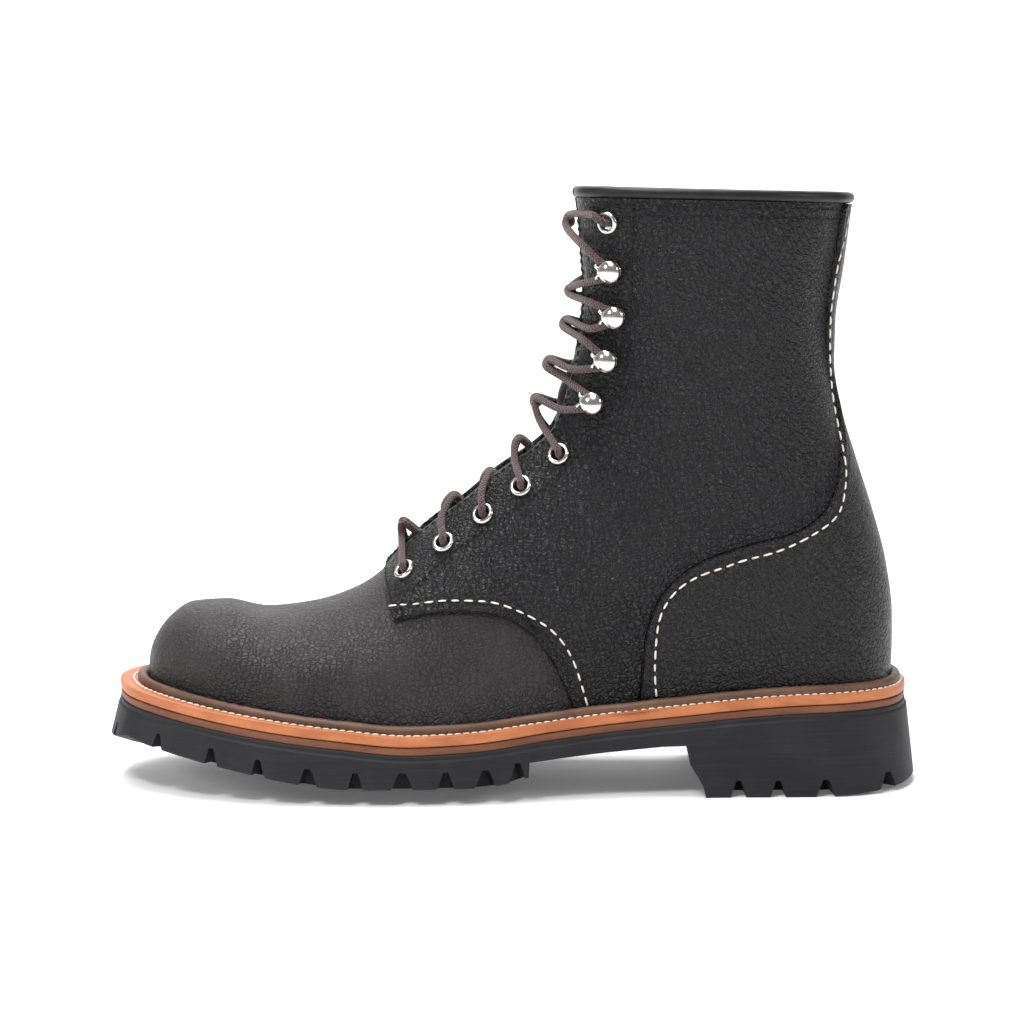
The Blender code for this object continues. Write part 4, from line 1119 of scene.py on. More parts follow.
@dataclass(frozen=True)
class Cord:
    """Braided lace with darker flecks that wind round it, and painted shade between its strands."""

    name: str
    colour: tuple = (0.105, 0.036, 0.040)
    fleck: tuple = (0.008, 0.005, 0.006)
    strands: float = 5.0

    def make(self) -> bpy.types.Material:
        """Build the material."""
        finish = Finish(self.name)
        source = finish.node("ShaderNodeTexCoord", output="UV")
        parts = finish.tree.nodes.new("ShaderNodeSeparateXYZ")
        finish.feed(parts.inputs[0], source)
        round_, along = Socket(finish, parts.outputs[0]), Socket(finish, parts.outputs[1])
        turn = 2 * math.pi
        one = ((round_ * self.strands + along * self.strands * 1.1) * turn).sine()
        two = ((round_ * self.strands - along * self.strands * 1.1) * turn).sine()
        weave = one.greatest(two)
        band = ((round_ * 2.0 - along * 2.2) * turn).sine()
        fibre = finish.noise(finish.place(), 5000.0, 2.0, 0.6)
        mask = band.between(0.45, 0.8) * one.between(-0.2, 0.5)
        tone = finish.blend(mask, finish.blend(fibre, self.colour, tuple(c * 0.55 for c in self.colour)),
                            self.fleck)
        # Painted shade: the cord is darkened to about a third of its colour where the weave is low, between
        # the strands.
        tone = finish.blend(1 - weave.between(-0.2, 0.8), tone, tuple(c * 0.3 for c in self.colour))
        lift = finish.bump(weave, 0.00028, 0.9)
        lift = finish.bump(fibre, 0.00006, 0.7, lift)
        finish.put(Base_Color=tone, Roughness=0.72 + 0.2 * (fibre - 0.5), Normal=lift, Sheen_Weight=0.25)
        return finish.material


class Side(Enum):
    """The two sides of the left foot."""

    LATERAL = -1
    MEDIAL = 1

    @property
    def word(self) -> str:
        """The side's name in the frame."""
        return self.name.lower()


def dress(piece: bpy.types.Object, materials: Sequence[bpy.types.Material],
          nodes: Sequence[str] = ()) -> bpy.types.Object:
    """Give a piece its finish and its place in the frame.

    Args:
        piece: The piece.
        materials: Its materials in slot order.
        nodes: CAD nodes that it stands for.

    Returns:
        The piece.
    """
    piece.data.materials.clear()
    for material in materials:
        piece.data.materials.append(material)
    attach(piece, BODY)
    if nodes:
        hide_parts(*nodes)
    LOG.info("%s: %d faces, stands for %s", piece.name, len(piece.data.polygons),
             ", ".join(nodes) or "nothing")
    return piece


def spread(length: np.ndarray, count: int, start: Sequence[float], end: Sequence[float]) -> np.ndarray:
    """Marks along lines, with close ones at their ends.

    Args:
        length: Length of each line.
        count: Even steps between the close marks.
        start: Distances of the close marks at the start.
        end: Distances of the close marks at the end.

    Returns:
        Shares of each length, one row for each line.
    """
    rows = []
    for reach in np.atleast_1d(length):
        fit = min(1.0, reach * 0.42 / max(max(start, default=0), max(end, default=0), 1e-9))
        low = np.array(start) * fit / reach
        high = 1 - np.array(end)[::-1] * fit / reach
        inner = np.linspace(low[-1] if len(low) else 0, high[0] if len(high) else 1, count + 2)[1:-1]
        rows.append(np.concatenate([low if len(low) else [0.0], inner, high if len(high) else [1.0]]))
    return np.array(rows)


CLOSE = (0.0, 0.00006, 0.0002, 0.00045, 0.0009, 0.0013, 0.0017, 0.0021, 0.0025, 0.0029, 0.0034,
         0.0039, 0.0044, 0.0049, 0.0054, 0.0059, 0.0065, 0.0073, 0.0082, 0.0090, 0.0098)


def distance_to(places: np.ndarray, line: np.ndarray) -> np.ndarray:
    """Distance of each place to a line's places."""
    flat = places.reshape(-1, 3)
    dense = even(line, 0.0004)
    result = np.empty(len(flat))
    for k in range(0, len(flat), 4000):
        part = flat[k:k + 4000]
        result[k:k + 4000] = np.sqrt(((part[:, None] - dense[None]) ** 2).sum(-1).min(1))
    return result.reshape(places.shape[:-1])


@dataclass
class Threads:
    """Sewing: rows of single stitches."""

    last: Last
    thick: float = 0.00040
    length: float = 0.0035
    pitch: float = 0.0049

    def master(self, length: float, thick: float) -> bpy.types.Object:
        """One stitch, lying along X with its ends dipping in."""
        deselect()
        bpy.ops.mesh.primitive_uv_sphere_add(segments=8, ring_count=7, radius=1, location=(0, 0, 0))
        piece = bpy.context.active_object
        for vert in piece.data.vertices:
            x, y, z = vert.co.z, vert.co.y, vert.co.x
            bend = math.copysign(abs(x) ** 0.6, x)
            vert.co = (bend * length / 2, y * thick, z * thick * 0.9 - (bend ** 6) * thick * 0.7)
        piece.data.flip_normals()
        return piece

    def run(self, name: str, line: np.ndarray, up: np.ndarray, pitch: Optional[float] = None,
            length: Optional[float] = None, thick: Optional[float] = None,
            slant: float = 0.0) -> bpy.types.Object:
        """Sew along a line.

        Args:
            name: Name of the piece.
            line: The seam's places on the leather.
            up: Outward directions there.
            pitch: Distance between stitches.
            length: Length of one stitch.
            thick: Half the thread's thickness.
            slant: Turn of each stitch out of the seam, in radians.

        Returns:
            The joined stitches.
        """
        length, thick = length or self.length, thick or self.thick
        reach = np.concatenate([[0], np.cumsum(np.linalg.norm(np.diff(line, axis=0), axis=1))])
        marks = np.linspace(0, reach[-1], max(int(round(reach[-1] / (pitch or self.pitch))), 2) + 1)
        both = np.stack([np.interp(marks, reach, part) for part in np.hstack([line, up]).T], axis=1)
        master = self.master(length, thick)
        places = []
        for k in range(len(both) - 1):
            middle = (both[k] + both[k + 1]) / 2
            way = both[k + 1, :3] - both[k, :3]
            high = middle[3:] / np.linalg.norm(middle[3:])
            way = way - high * np.dot(way, high)
            way /= np.linalg.norm(way)
            across = np.cross(high, way)
            turned = way * math.cos(slant) + across * math.sin(slant)
            sway = 1 + 0.12 * math.sin(k * 2.4)
            places.append(matrix(middle[:3] + high * thick * 0.40, turned * sway,
                                 np.cross(high, turned), high))
        piece = copy_at(name, master, places)
        bpy.data.objects.remove(master, do_unlink=True)
        return piece

    def seam(self, name: str, side: int, shares: np.ndarray, lift: float, **sizes: float) -> bpy.types.Object:
        """Sew along a side-view line on the leather."""
        spots = self.last.locate(shares, side)
        line = self.last.raised(spots[:, 0], spots[:, 1], side, np.full(len(spots), lift))
        up = self.last.normal(spots[:, 0], spots[:, 1], side)
        return self.run(name, line, up, **sizes)


@dataclass
class Upper:
    """Vamp and shaft: the hollow wall under the overlays."""

    last: Last
    wall: float = 0.0020
    rows: int = 210
    columns: int = 44
    hole: float = 0.0026

    def half(self, side: int) -> bpy.types.Object:
        """One side of the wall's outer face."""
        jump = THROAT_ROW / self.last.last_row
        t = np.unique(np.concatenate([np.linspace(0, 1, self.rows + 1), np.linspace(0, 0.06, 16),
                                      [jump, jump + 0.0004]]))
        phi = np.linspace(0, 1, self.columns + 1)
        grid_t, grid_phi = np.meshgrid(t, phi, indexing="ij")
        return sheet("upper_half", self.last.point(grid_t, grid_phi, side))

    def build(self) -> bpy.types.Object:
        """Both sides welded along the ridge and the back, with the wall inside."""
        piece = join("vamp_and_shaft", [self.half(-1), self.half(1)])
        weld(piece, 0.00002)
        outward(piece)
        thicken(piece, self.wall, -1, inner=1)
        smooth_shade(piece, 50)
        return piece


@dataclass
class Quarter:
    """One laced side, from the front tab round the facing to the counter."""

    last: Last
    side: int
    rows: int = 150
    columns: int = 54

    def spots(self) -> tuple[np.ndarray, np.ndarray, float]:
        """Lower border as t and phi, the front border as t and phi, and where they meet."""
        last = self.last
        front = last.locate(last.to_shares(through(last.to_place(QUARTER_FRONT), 6)), self.side)
        lower = last.locate(last.to_shares(through(last.to_place(QUARTER_LOWER), 8)), self.side)
        counter = last.locate(last.beside(COUNTER_EDGE, last.clearance, 8), self.side)
        low = lower[lower[:, 1] > 0.004]
        high = counter[counter[:, 1] > 0.004]
        border = np.vstack([low, [[0.4221, 0.0]], [[high[0, 0] - 0.001, 0.0]], high])
        border[:, 0] = self.slid(border[:, 0], border[:, 1])
        order = np.argsort(border[:, 0], kind="stable")
        front = front[np.argsort(front[:, 1])]
        return border[order], front, float(low[0, 0])

    @staticmethod
    def slid(t: np.ndarray, phi: np.ndarray) -> np.ndarray:
        """Row share from t, slid at the bottom so that each row meets the lower border once."""
        return t + 0.036 * np.maximum(0.3 - phi, 0) * (1 - smoothstep(0.5, 0.65, t))

    @staticmethod
    def unslid(row: np.ndarray, phi: np.ndarray) -> np.ndarray:
        """The t of a slid row share."""
        return row - 0.036 * np.maximum(0.3 - phi, 0) * (1 - smoothstep(0.5, 0.65, row))

    def build(self) -> bpy.types.Object:
        """The quarter with cut edges, pressed seams and its lace holes still closed."""
        last, side = self.last, self.side
        border, front, corner = self.spots()
        u = spread(np.array([0.18]), self.rows, CLOSE, (0.0,))[0]
        v_even = np.linspace(0, 1, 60)
        t_low = corner + (1 - corner) * u
        phi_low = np.interp(t_low, border[:, 0], border[:, 1])
        front_phi = np.linspace(phi_low[0], 1, 60)
        t_start = np.interp(front_phi, front[:, 1], front[:, 0])
        t_start[0] = corner
        t = t_start[None, :] + (1 - t_start[None, :]) * u[:, None]
        phi = phi_low[:, None] + (1 - phi_low[:, None]) * v_even[None, :]
        rough = last.point(self.unslid(t, phi), phi, side)
        reach = reach_along(rough)
        marks = spread(reach[:, -1], self.columns, CLOSE, CLOSE)
        fine_t, fine_phi = [], []
        for k in range(len(u)):
            share = np.interp(marks[k] * reach[k, -1], reach[k], v_even)
            fine_t.append(np.interp(share, v_even, t[k]))
            fine_phi.append(np.interp(share, v_even, phi[k]))
        phi = np.array(fine_phi)
        t = self.unslid(np.array(fine_t), phi)
        base = last.point(t, phi, side)
        lower, facing = [distance_to(base, line) for line in self.edges(base)]
        near = np.minimum(lower, facing)
        rim = np.clip(near / 0.0009, 0, 1)
        lift = last.clearance + last.overlay * np.sqrt(1 - (1 - rim) ** 2)
        lift -= 0.00020 * np.exp(-((lower - 0.0055) / 0.0005) ** 2)
        lift -= 0.00014 * np.exp(-((near - 0.0016) / 0.0004) ** 2)
        lift += 0.00022 * (1 - smoothstep(0.0085, 0.0098, lower))
        piece = sheet("quarter_" + Side(side).word, last.raised(t, phi, side, lift))
        outward(piece)
        thicken(piece, 0.00035, -1)
        smooth_shade(piece, 50)
        return piece

    def edges(self, base: np.ndarray) -> list[np.ndarray]:
        """The borders that show a cut edge: front and lower, and the facing."""
        feather = self.last.feather(base[:, 0, 0]) + 0.0006
        free = base[:, 0][(base[:, 0, 2] > feather) & (base[:, 0, 0] < base[0, 0, 0] + 0.09)]
        cut_end = int(np.argmax(base[:, 0, 2] <= feather)) or len(base)
        return [np.vstack([base[0, ::-1], base[:cut_end, 0]]) if len(free) else base[0], base[:, -1]]


@dataclass
class Counter:
    """Heel counter and backstay in one piece round the back."""

    last: Last
    rows: int = 150
    columns: int = 46

    def half(self, side: int) -> bpy.types.Object:
        """One side, from the back to the sewn edge."""
        last = self.last
        edge = last.locate(last.to_shares(through(last.to_place(COUNTER_EDGE), 8)), side)
        edge = edge[edge[:, 1] > 0.002]
        start = edge[0, 0] - 0.001
        t_edge = np.concatenate([[start], edge[:, 0]])
        phi_edge = np.concatenate([[0.0], edge[:, 1]])
        order = np.argsort(t_edge, kind="stable")
        t = np.concatenate([np.linspace(start, start + 0.02, 8)[:-1],
                            np.linspace(start + 0.02, 1, self.rows)])
        reach_phi = np.interp(t, t_edge[order], phi_edge[order])
        v_even = np.linspace(0, 1, 50)
        rough = last.point(np.repeat(t[:, None], 50, 1), reach_phi[:, None] * v_even, side)
        reach = reach_along(rough)
        marks = spread(np.maximum(reach[:, -1], 1e-5), self.columns, (0.0,), CLOSE)
        phi = np.array([np.interp(marks[k] * reach[k, -1], reach[k], v_even) * reach_phi[k]
                        for k in range(len(t))])
        t = np.repeat(t[:, None], phi.shape[1], 1)
        base = last.point(t, phi, side)
        near = distance_to(base, base[:, -1])
        rim = np.clip(near / 0.0012, 0, 1)
        lift = last.clearance + last.counter_overlay * np.sqrt(1 - (1 - rim) ** 2)
        lift -= 0.00028 * np.exp(-((near - 0.0031) / 0.0005) ** 2)
        return sheet("counter_half", last.raised(t, phi, side, lift))

    def build(self) -> bpy.types.Object:
        """Both sides welded down the back."""
        piece = join("heel_counter", [self.half(-1), self.half(1)])
        weld(piece, 0.00004)
        outward(piece, (0.05, 0, 0.1), level=False)
        thicken(piece, 0.00035, -1)
        smooth_shade(piece, 50)
        return piece


@dataclass
class Collar:
    """Rolled binding round the top, with small puckers."""

    last: Last
    half_height: float = 0.00220
    front_half: float = 0.0029
    back_half: float = 0.0037

    def path(self) -> tuple[np.ndarray, np.ndarray, np.ndarray]:
        """Centre line, level outward directions and half widths."""
        last = self.last
        columns = np.linspace(0, 1, 90)
        places, outs, halves = [], [], []
        for side, phis in ((-1, columns[::-1]), (1, columns[1:])):
            one = np.ones_like(phis)
            normal = last.normal(one, phis, side)
            normal[:, 2] = 0
            normal /= np.linalg.norm(normal, axis=1, keepdims=True)
            cover = last.overlay + (last.counter_overlay - last.overlay) * (1 - smoothstep(0.10, 0.16, phis))
            middle = (last.clearance + cover - 0.0020) / 2
            place = last.point(one, phis, side) + normal * middle[:, None]
            place[:, 2] += self.half_height - last.clearance
            places.append(place)
            outs.append(normal)
            nearness = 1 - smoothstep(0.1, 0.16, phis)
            halves.append(self.front_half + (self.back_half - self.front_half) * nearness)
        return np.vstack(places), np.vstack(outs), np.concatenate(halves)

    def build(self) -> bpy.types.Object:
        """The binding."""
        line, out, half = self.path()
        reach = np.concatenate([[0], np.cumsum(np.linalg.norm(np.diff(line, axis=0), axis=1))])
        count = int(reach[-1] / 0.0011) + 1
        marks = np.linspace(0, reach[-1], count)
        both = np.stack([np.interp(marks, reach, part) for part in np.c_[line, out, half].T], axis=1)
        line, out, half = both[:, :3], both[:, 3:6], both[:, 6]
        turn = np.linspace(0, 2 * math.pi, 25)
        along = np.arange(count) * 0.0011
        ripple = (0.00007 * np.sin(along / 0.0031) * np.sin(along / 0.021)
                  + 0.00005 * np.sin(along / 0.0017 + 1.3) * np.sin(along / 0.013)
                  + 0.00016 * np.sin(along / 0.015 + 0.4))
        end = np.minimum(np.arange(count), np.arange(count)[::-1]) * 0.0011
        close = np.sqrt(1 - (1 - np.clip(end / 0.0010 + 0.3, 0, 1)) ** 2)
        wide = (half + ripple)[:, None] * close[:, None] * np.sign(np.cos(turn)) * np.abs(np.cos(turn)) ** 0.8
        tall = (self.half_height + ripple * 0.5)[:, None] * close[:, None] * np.sign(np.sin(turn)) * np.abs(
            np.sin(turn)) ** 0.8
        places = line[:, None] + out[:, None] * wide[..., None]
        places[..., 2] += tall
        piece = sheet("collar_roll", places)
        weld(piece)
        smooth_shade(piece, 60)
        return piece


@dataclass
class Tongue:
    """Padded tongue under the facings, risen between them at the ankle."""

    last: Last
    thick: float = 0.0030
    clear: float = 0.0029
    room: float = 0.0036
    rows: int = 120
    rise: tuple = ((0.34, 0.02), (0.42, 0.08), (0.52, 0.12), (0.60, 0.26), (0.68, 0.40), (0.80, 0.22),
                   (0.90, -0.06), (1.00, -0.30))

    def build(self) -> bpy.types.Object:
        """The tongue as one padded sheet."""
        last = self.last
        t = np.linspace(0.356, 0.968, self.rows)
        phis = np.linspace(1.0, 0.62, 18)
        gap = np.linspace(0, 1, 9)
        low = self.clear + self.room * (1 - smoothstep(0.50, 0.58, t))
        columns = []
        edges = {side: last.raised(t, np.ones_like(t), side, -low) for side in (-1, 1)}
        ridge = last.normal(t, np.ones_like(t), -1) + last.normal(t, np.ones_like(t), 1)
        ridge /= np.linalg.norm(ridge, axis=1, keepdims=True)
        plain = [last.raised(t, np.ones_like(t), side, np.full_like(t, -self.clear)) for side in (-1, 1)]
        centre = (plain[0] + plain[1]) / 2 + ridge * (read(self.rise, t) * last.throat_gap)[:, None]
        for side in (-1, 1):
            under = [last.raised(t, np.full_like(t, phi), side, -low) for phi in phis[1:]]
            bridge = []
            for g in gap:
                bulge = (1 - g * g)
                chord = edges[side] * g + (edges[1] + edges[-1]) / 2 * (1 - g)
                bridge.append(chord + (centre - (edges[1] + edges[-1]) / 2) * bulge)
            columns.append(bridge + under)
        whole = columns[0][::-1] + columns[1][1:]
        piece = sheet("tongue_pad", np.stack(whole, axis=1))
        outward(piece, (0.06, 0, 0.08), level=False)
        thicken(piece, self.thick, -1)
        smooth_shade(piece, 60)
        return piece


@dataclass
class Sole:
    """Outsole, midsole, welt with its bead, and insole."""

    last: Last
    crown: float = 0.0062
    waist_step: float = 0.0060
    notch_depth: float = 0.0130
    notch_rise: float = 0.0070
    notch_width: float = 0.0056
    step_drop: float = 0.0020
    step_out: float = 0.0007
    seat: float = 0.0070
    bead_height: float = 0.0030
    bead_width: float = 0.0042
    bead_clear: float = 0.0008
    insole_height: float = 0.0030
    insole_inset: float = 0.0033
    groove: float = 0.0035
    groove_depth: float = 0.0045
    places: int = 460

    def tread(self, x: np.ndarray, y: np.ndarray) -> np.ndarray:
        """Height of the tread."""
        last = self.last
        share = (x + last.sole_length / 2) / last.sole_length
        lateral, medial = last.side_y(-1, x), last.side_y(1, x)
        half = np.maximum((medial - lateral) / 2, 0.55 * last.ball_width / 2)
        across = np.minimum(np.abs(y - (medial + lateral) / 2) / half, 1.15)
        crown = self.crown * (1 - read(CROWN_FADE, share))
        return last.heel_stand * read(SOLE_BOTTOM, share) + crown * across ** 2 * 0.8

    def ring(self, name: str, section: Callable[[np.ndarray], list], base: Callable) -> bpy.types.Object:
        """Closed ring round the sole.

        Args:
            name: Name of the piece.
            section: Out and up of each corner, as functions of the share along the last.
            base: Height that the section stands on, as a function of x.

        Returns:
            The ring.
        """
        turn = np.arange(self.places + 1) / self.places * 2 * math.pi
        along = (1 - np.cos(turn)) / 2
        columns = []
        corners = section(along)
        for out, up in corners + corners[:1]:
            out = np.broadcast_to(out, along.shape)
            lateral, medial = self.last.edge(-1, along, out), self.last.edge(1, along, out)
            plan = np.where((turn <= math.pi)[:, None], lateral, medial)
            columns.append(np.c_[plan, base(plan[:, 0]) + up])
        piece = sheet(name, np.stack(columns, axis=1))
        weld(piece)
        smooth_shade(piece, 40)
        return piece

    def plate(self, name: str, outward_by: Callable, low: Callable, high: Callable,
              round_edge: float) -> bpy.types.Object:
        """Flat body over the whole plan with eased edges."""
        last = self.last
        along = (1 - np.cos(np.linspace(0, math.pi, 150))) / 2
        out = outward_by(along)
        rows = []
        shares = np.concatenate([[0, 0.006], np.linspace(0.03, 0.97, 22), [0.994, 1]])
        inner = [last.edge(side, along, out - round_edge) for side in (-1, 1)]
        outer = [last.edge(side, along, out) for side in (-1, 1)]
        top = [inner[0] + (inner[1] - inner[0]) * s for s in shares]
        loop = [np.c_[p, high(p[:, 0])] for p in top]
        loop += [np.c_[outer[1], high(outer[1][:, 0]) - round_edge],
                 np.c_[outer[1], low(outer[1][:, 0]) + round_edge]]
        loop += [np.c_[p, low(p[:, 0])] for p in top[::-1]]
        loop += [np.c_[outer[0], low(outer[0][:, 0]) + round_edge],
                 np.c_[outer[0], high(outer[0][:, 0]) - round_edge]]
        rows = np.stack(loop + loop[:1], axis=1)
        piece = sheet(name, rows)
        weld(piece)
        smooth_shade(piece, 45)
        return piece

    def midsole_piece(self) -> bpy.types.Object:
        """Plate between outsole and welt."""
        last = self.last
        return self.plate("midsole_edge", lambda a: last.ledge(a) - last.clearance,
                          lambda x: last.sole_top(x) + 0.00005,
                          lambda x: last.sole_top(x) + last.clearance + last.midsole, 0.0004)

    def insole_piece(self) -> bpy.types.Object:
        """Footbed inside the wall."""
        last = self.last
        return self.plate("footbed", lambda a: np.full_like(a, -self.insole_inset),
                          last.feather, lambda x: last.feather(x) + self.insole_height, 0.0008)

    def welt_base(self, x: np.ndarray) -> np.ndarray:
        """Underside of the welt."""
        return self.last.sole_top(x) + self.last.midsole + 2 * self.last.clearance

    def flange_piece(self) -> bpy.types.Object:
        """Stitched flange."""
        last = self.last

        def section(a: np.ndarray) -> list:
            """Corners of the flange."""
            outer, inner = last.ledge(a), last.cover(a) + self.bead_clear
            seam = inner + self.bead_width + 0.0011
            w = last.welt
            return [(-self.seat, 0.0), (outer - 0.0006, 0.0), (outer - 0.0001, 0.0004), (outer, 0.0012),
                    (outer, w - 0.0012), (outer - 0.0002, w - 0.0004), (outer - 0.0009, w),
                    (np.minimum(seam + 0.0008, outer - 0.0010), w), (seam, w - 0.0005),
                    (seam - 0.0007, w - 0.0002),
                    (inner + 0.0004, w - 0.0002), (-self.seat, w)]

        return self.ring("welt_flange", section, self.welt_base)

    def bead_piece(self) -> bpy.types.Object:
        """Raised bead against the upper."""
        last = self.last

        def section(a: np.ndarray) -> list:
            """Corners of the bead."""
            inner = last.cover(a) + self.bead_clear * 0.45
            w, b, h = last.welt, self.bead_width, self.bead_height
            ripple = 0.00008 * np.sin(a * 900) + 0.00006 * np.sin(a * 2300)
            turn = np.linspace(-0.25, 1.0, 11) * math.pi
            corners = [(inner + b / 2 + b / 2 * math.cos(s) * abs(math.cos(s)) ** -0.2,
                        w + (h + ripple) * max(math.sin(s), -0.12) * abs(math.sin(s) + 1e-9) ** -0.15)
                       for s in turn]
            return corners + [(inner, w - 0.0003)]

        return self.ring("storm_bead", section, self.welt_base)

    def welt_seam(self) -> tuple[np.ndarray, np.ndarray]:
        """Places and directions of the welt's stitching."""
        last = self.last
        turn = np.linspace(0, 2 * math.pi, 600)
        along = (1 - np.cos(turn)) / 2
        out = last.cover(along) + self.bead_clear + self.bead_width + 0.0011
        out = np.minimum(out, last.ledge(along) - 0.0014)
        lateral, medial = last.edge(-1, along, out), last.edge(1, along, out)
        plan = np.where((turn <= math.pi)[:, None], lateral, medial)
        height = self.welt_base(plan[:, 0]) + last.welt - 0.0002
        return np.c_[plan, height], np.tile([0.0, 0.0, 1.0], (len(turn), 1))

    def prism(self, name: str, corners: Sequence, bow: bool) -> bpy.types.Object:
        """Cutter across the sole from a side-view outline."""
        reach = self.last.ball_width
        slices = np.linspace(-reach, reach, 33 if bow else 2)
        shift = self.waist_step * (1 - np.minimum(np.abs(slices) / (self.last.ball_width / 2), 1.0) ** 2)
        build = bmesh.new()
        loops = [[build.verts.new((x + (s if bow else 0) * w, y, z)) for x, z, w in corners]
                 for y, s in zip(slices, shift)]
        for a, b in zip(loops[:-1], loops[1:]):
            for k in range(len(a)):
                j = (k + 1) % len(a)
                build.faces.new((a[k], a[j], b[j], b[k]))
        build.faces.new(loops[0])
        build.faces.new(loops[-1])
        bmesh.ops.recalc_face_normals(build, faces=build.faces)
        return self.tool(name, build)

    def tool(self, name: str, build: bmesh.types.BMesh) -> bpy.types.Object:
        """Turn a bmesh into a cutter."""
        mesh = bpy.data.meshes.new(name)
        build.to_mesh(mesh)
        build.free()
        piece = bpy.data.objects.new(name, mesh)
        bpy.context.scene.collection.objects.link(piece)
        return piece

    def notches(self) -> bpy.types.Object:
        """Wedges that part the edge lugs."""
        last = self.last
        build = bmesh.new()
        for side in (-1, 1):
            for along, size, reach in NOTCHES:
                depth = self.notch_depth * reach
                out = float(last.ledge(np.array(along)) + last.flare(np.array(along)))
                centre = last.edge(side, along, out)
                inside = last.edge(side, along, out - depth)
                normal = np.append((centre - inside) / np.linalg.norm(centre - inside), 0)
                tangent = np.cross((0, 0, 1), normal)
                edge_z = float(self.tread(*centre))
                top = edge_z + self.notch_rise * min(size, 1.0)
                half = self.notch_width * size / 2
                ring = []
                for distance, share in ((-depth, 0.7), (last.toe_flare, 1.0)):
                    base = np.append(centre, 0) + normal * distance
                    for z, wide in ((-0.02, 1.6), (edge_z, 1.0), (top, 0.30)):
                        level = z if z <= edge_z else edge_z + (top - edge_z) * share
                        for sign in (-1, 1):
                            ring.append(build.verts.new(base + tangent * sign * half * wide + (0, 0, level)))
                order = (0, 2, 4, 5, 3, 1)
                build.faces.new([ring[k] for k in order])
                build.faces.new([ring[k + 6] for k in order[::-1]])
                for k in range(6):
                    a, b = order[k], order[(k + 1) % 6]
                    build.faces.new((ring[b], ring[a], ring[a + 6], ring[b + 6]))
        bmesh.ops.recalc_face_normals(build, faces=build.faces)
        return self.tool("notches", build)

    def grooves(self) -> bpy.types.Object:
        """Cross grooves down the middle of the tread."""
        last = self.last
        build = bmesh.new()
        for along, reach in CENTRE_GROOVES:
            x = last.toe_x + along * last.length
            lateral, medial = float(last.side_y(-1, x)), float(last.side_y(1, x))
            middle, half = (lateral + medial) / 2, (medial - lateral) / 2 * reach
            top = float(self.tread(np.array(x), np.array(middle))) + self.groove_depth
            depth = top + last.heel_stand
            place = Matrix.Translation((x, middle, top - depth / 2))
            shape = Matrix.Diagonal((self.groove, half * 2, depth, 1))
            bmesh.ops.create_cube(build, size=1.0, matrix=place @ shape)
        return self.tool("grooves", build)

    def outsole_piece(self) -> bpy.types.Object:
        """Lug rubber with heel, breast, waist, toe spring, side step and edge lugs."""
        last = self.last
        along = (1 - np.cos(np.linspace(0, math.pi, 150))) / 2
        ledge, flare = last.ledge(along), last.flare(along)
        ease = 0.0005
        walls = {}
        for side in (1, -1):
            wall = []
            for drop, out in ((0.0, -ease), (ease, 0.0), (self.step_drop * 0.9, 0.0),
                              (self.step_drop * 1.1, self.step_out * 0.4),
                              (self.step_drop * 1.3, self.step_out)):
                plan = last.edge(side, along, ledge + out)
                wall.append(np.c_[plan, last.sole_top(plan[:, 0]) - drop])
            plan = last.edge(side, along, ledge + flare)
            wall.append(np.c_[plan, self.tread(plan[:, 0], plan[:, 1]) + ease])
            plan = last.edge(side, along, ledge + flare - ease)
            wall.append(np.c_[plan, self.tread(plan[:, 0], plan[:, 1])])
            walls[side] = wall
        lateral, medial = walls[-1][-1][:, :2], walls[1][-1][:, :2]
        under = []
        for s in np.linspace(0, 1, 20)[1:-1]:
            plan = medial + (lateral - medial) * s
            under.append(np.c_[plan, self.tread(plan[:, 0], plan[:, 1])])
        loop = walls[1] + under + walls[-1][::-1]
        piece = sheet("lug_sole", np.stack(loop + loop[:1], axis=1))
        weld(piece)
        line = [(x * last.sole_length - last.sole_length / 2, h * last.heel_stand, 0.0 if x < 0.7 else 1.0)
                for x, h in WAIST_LINE]
        cut(piece, self.prism("waist", line, True))
        cut(piece, self.notches())
        cut(piece, self.grooves())
        smooth_shade(piece, 32)
        return piece


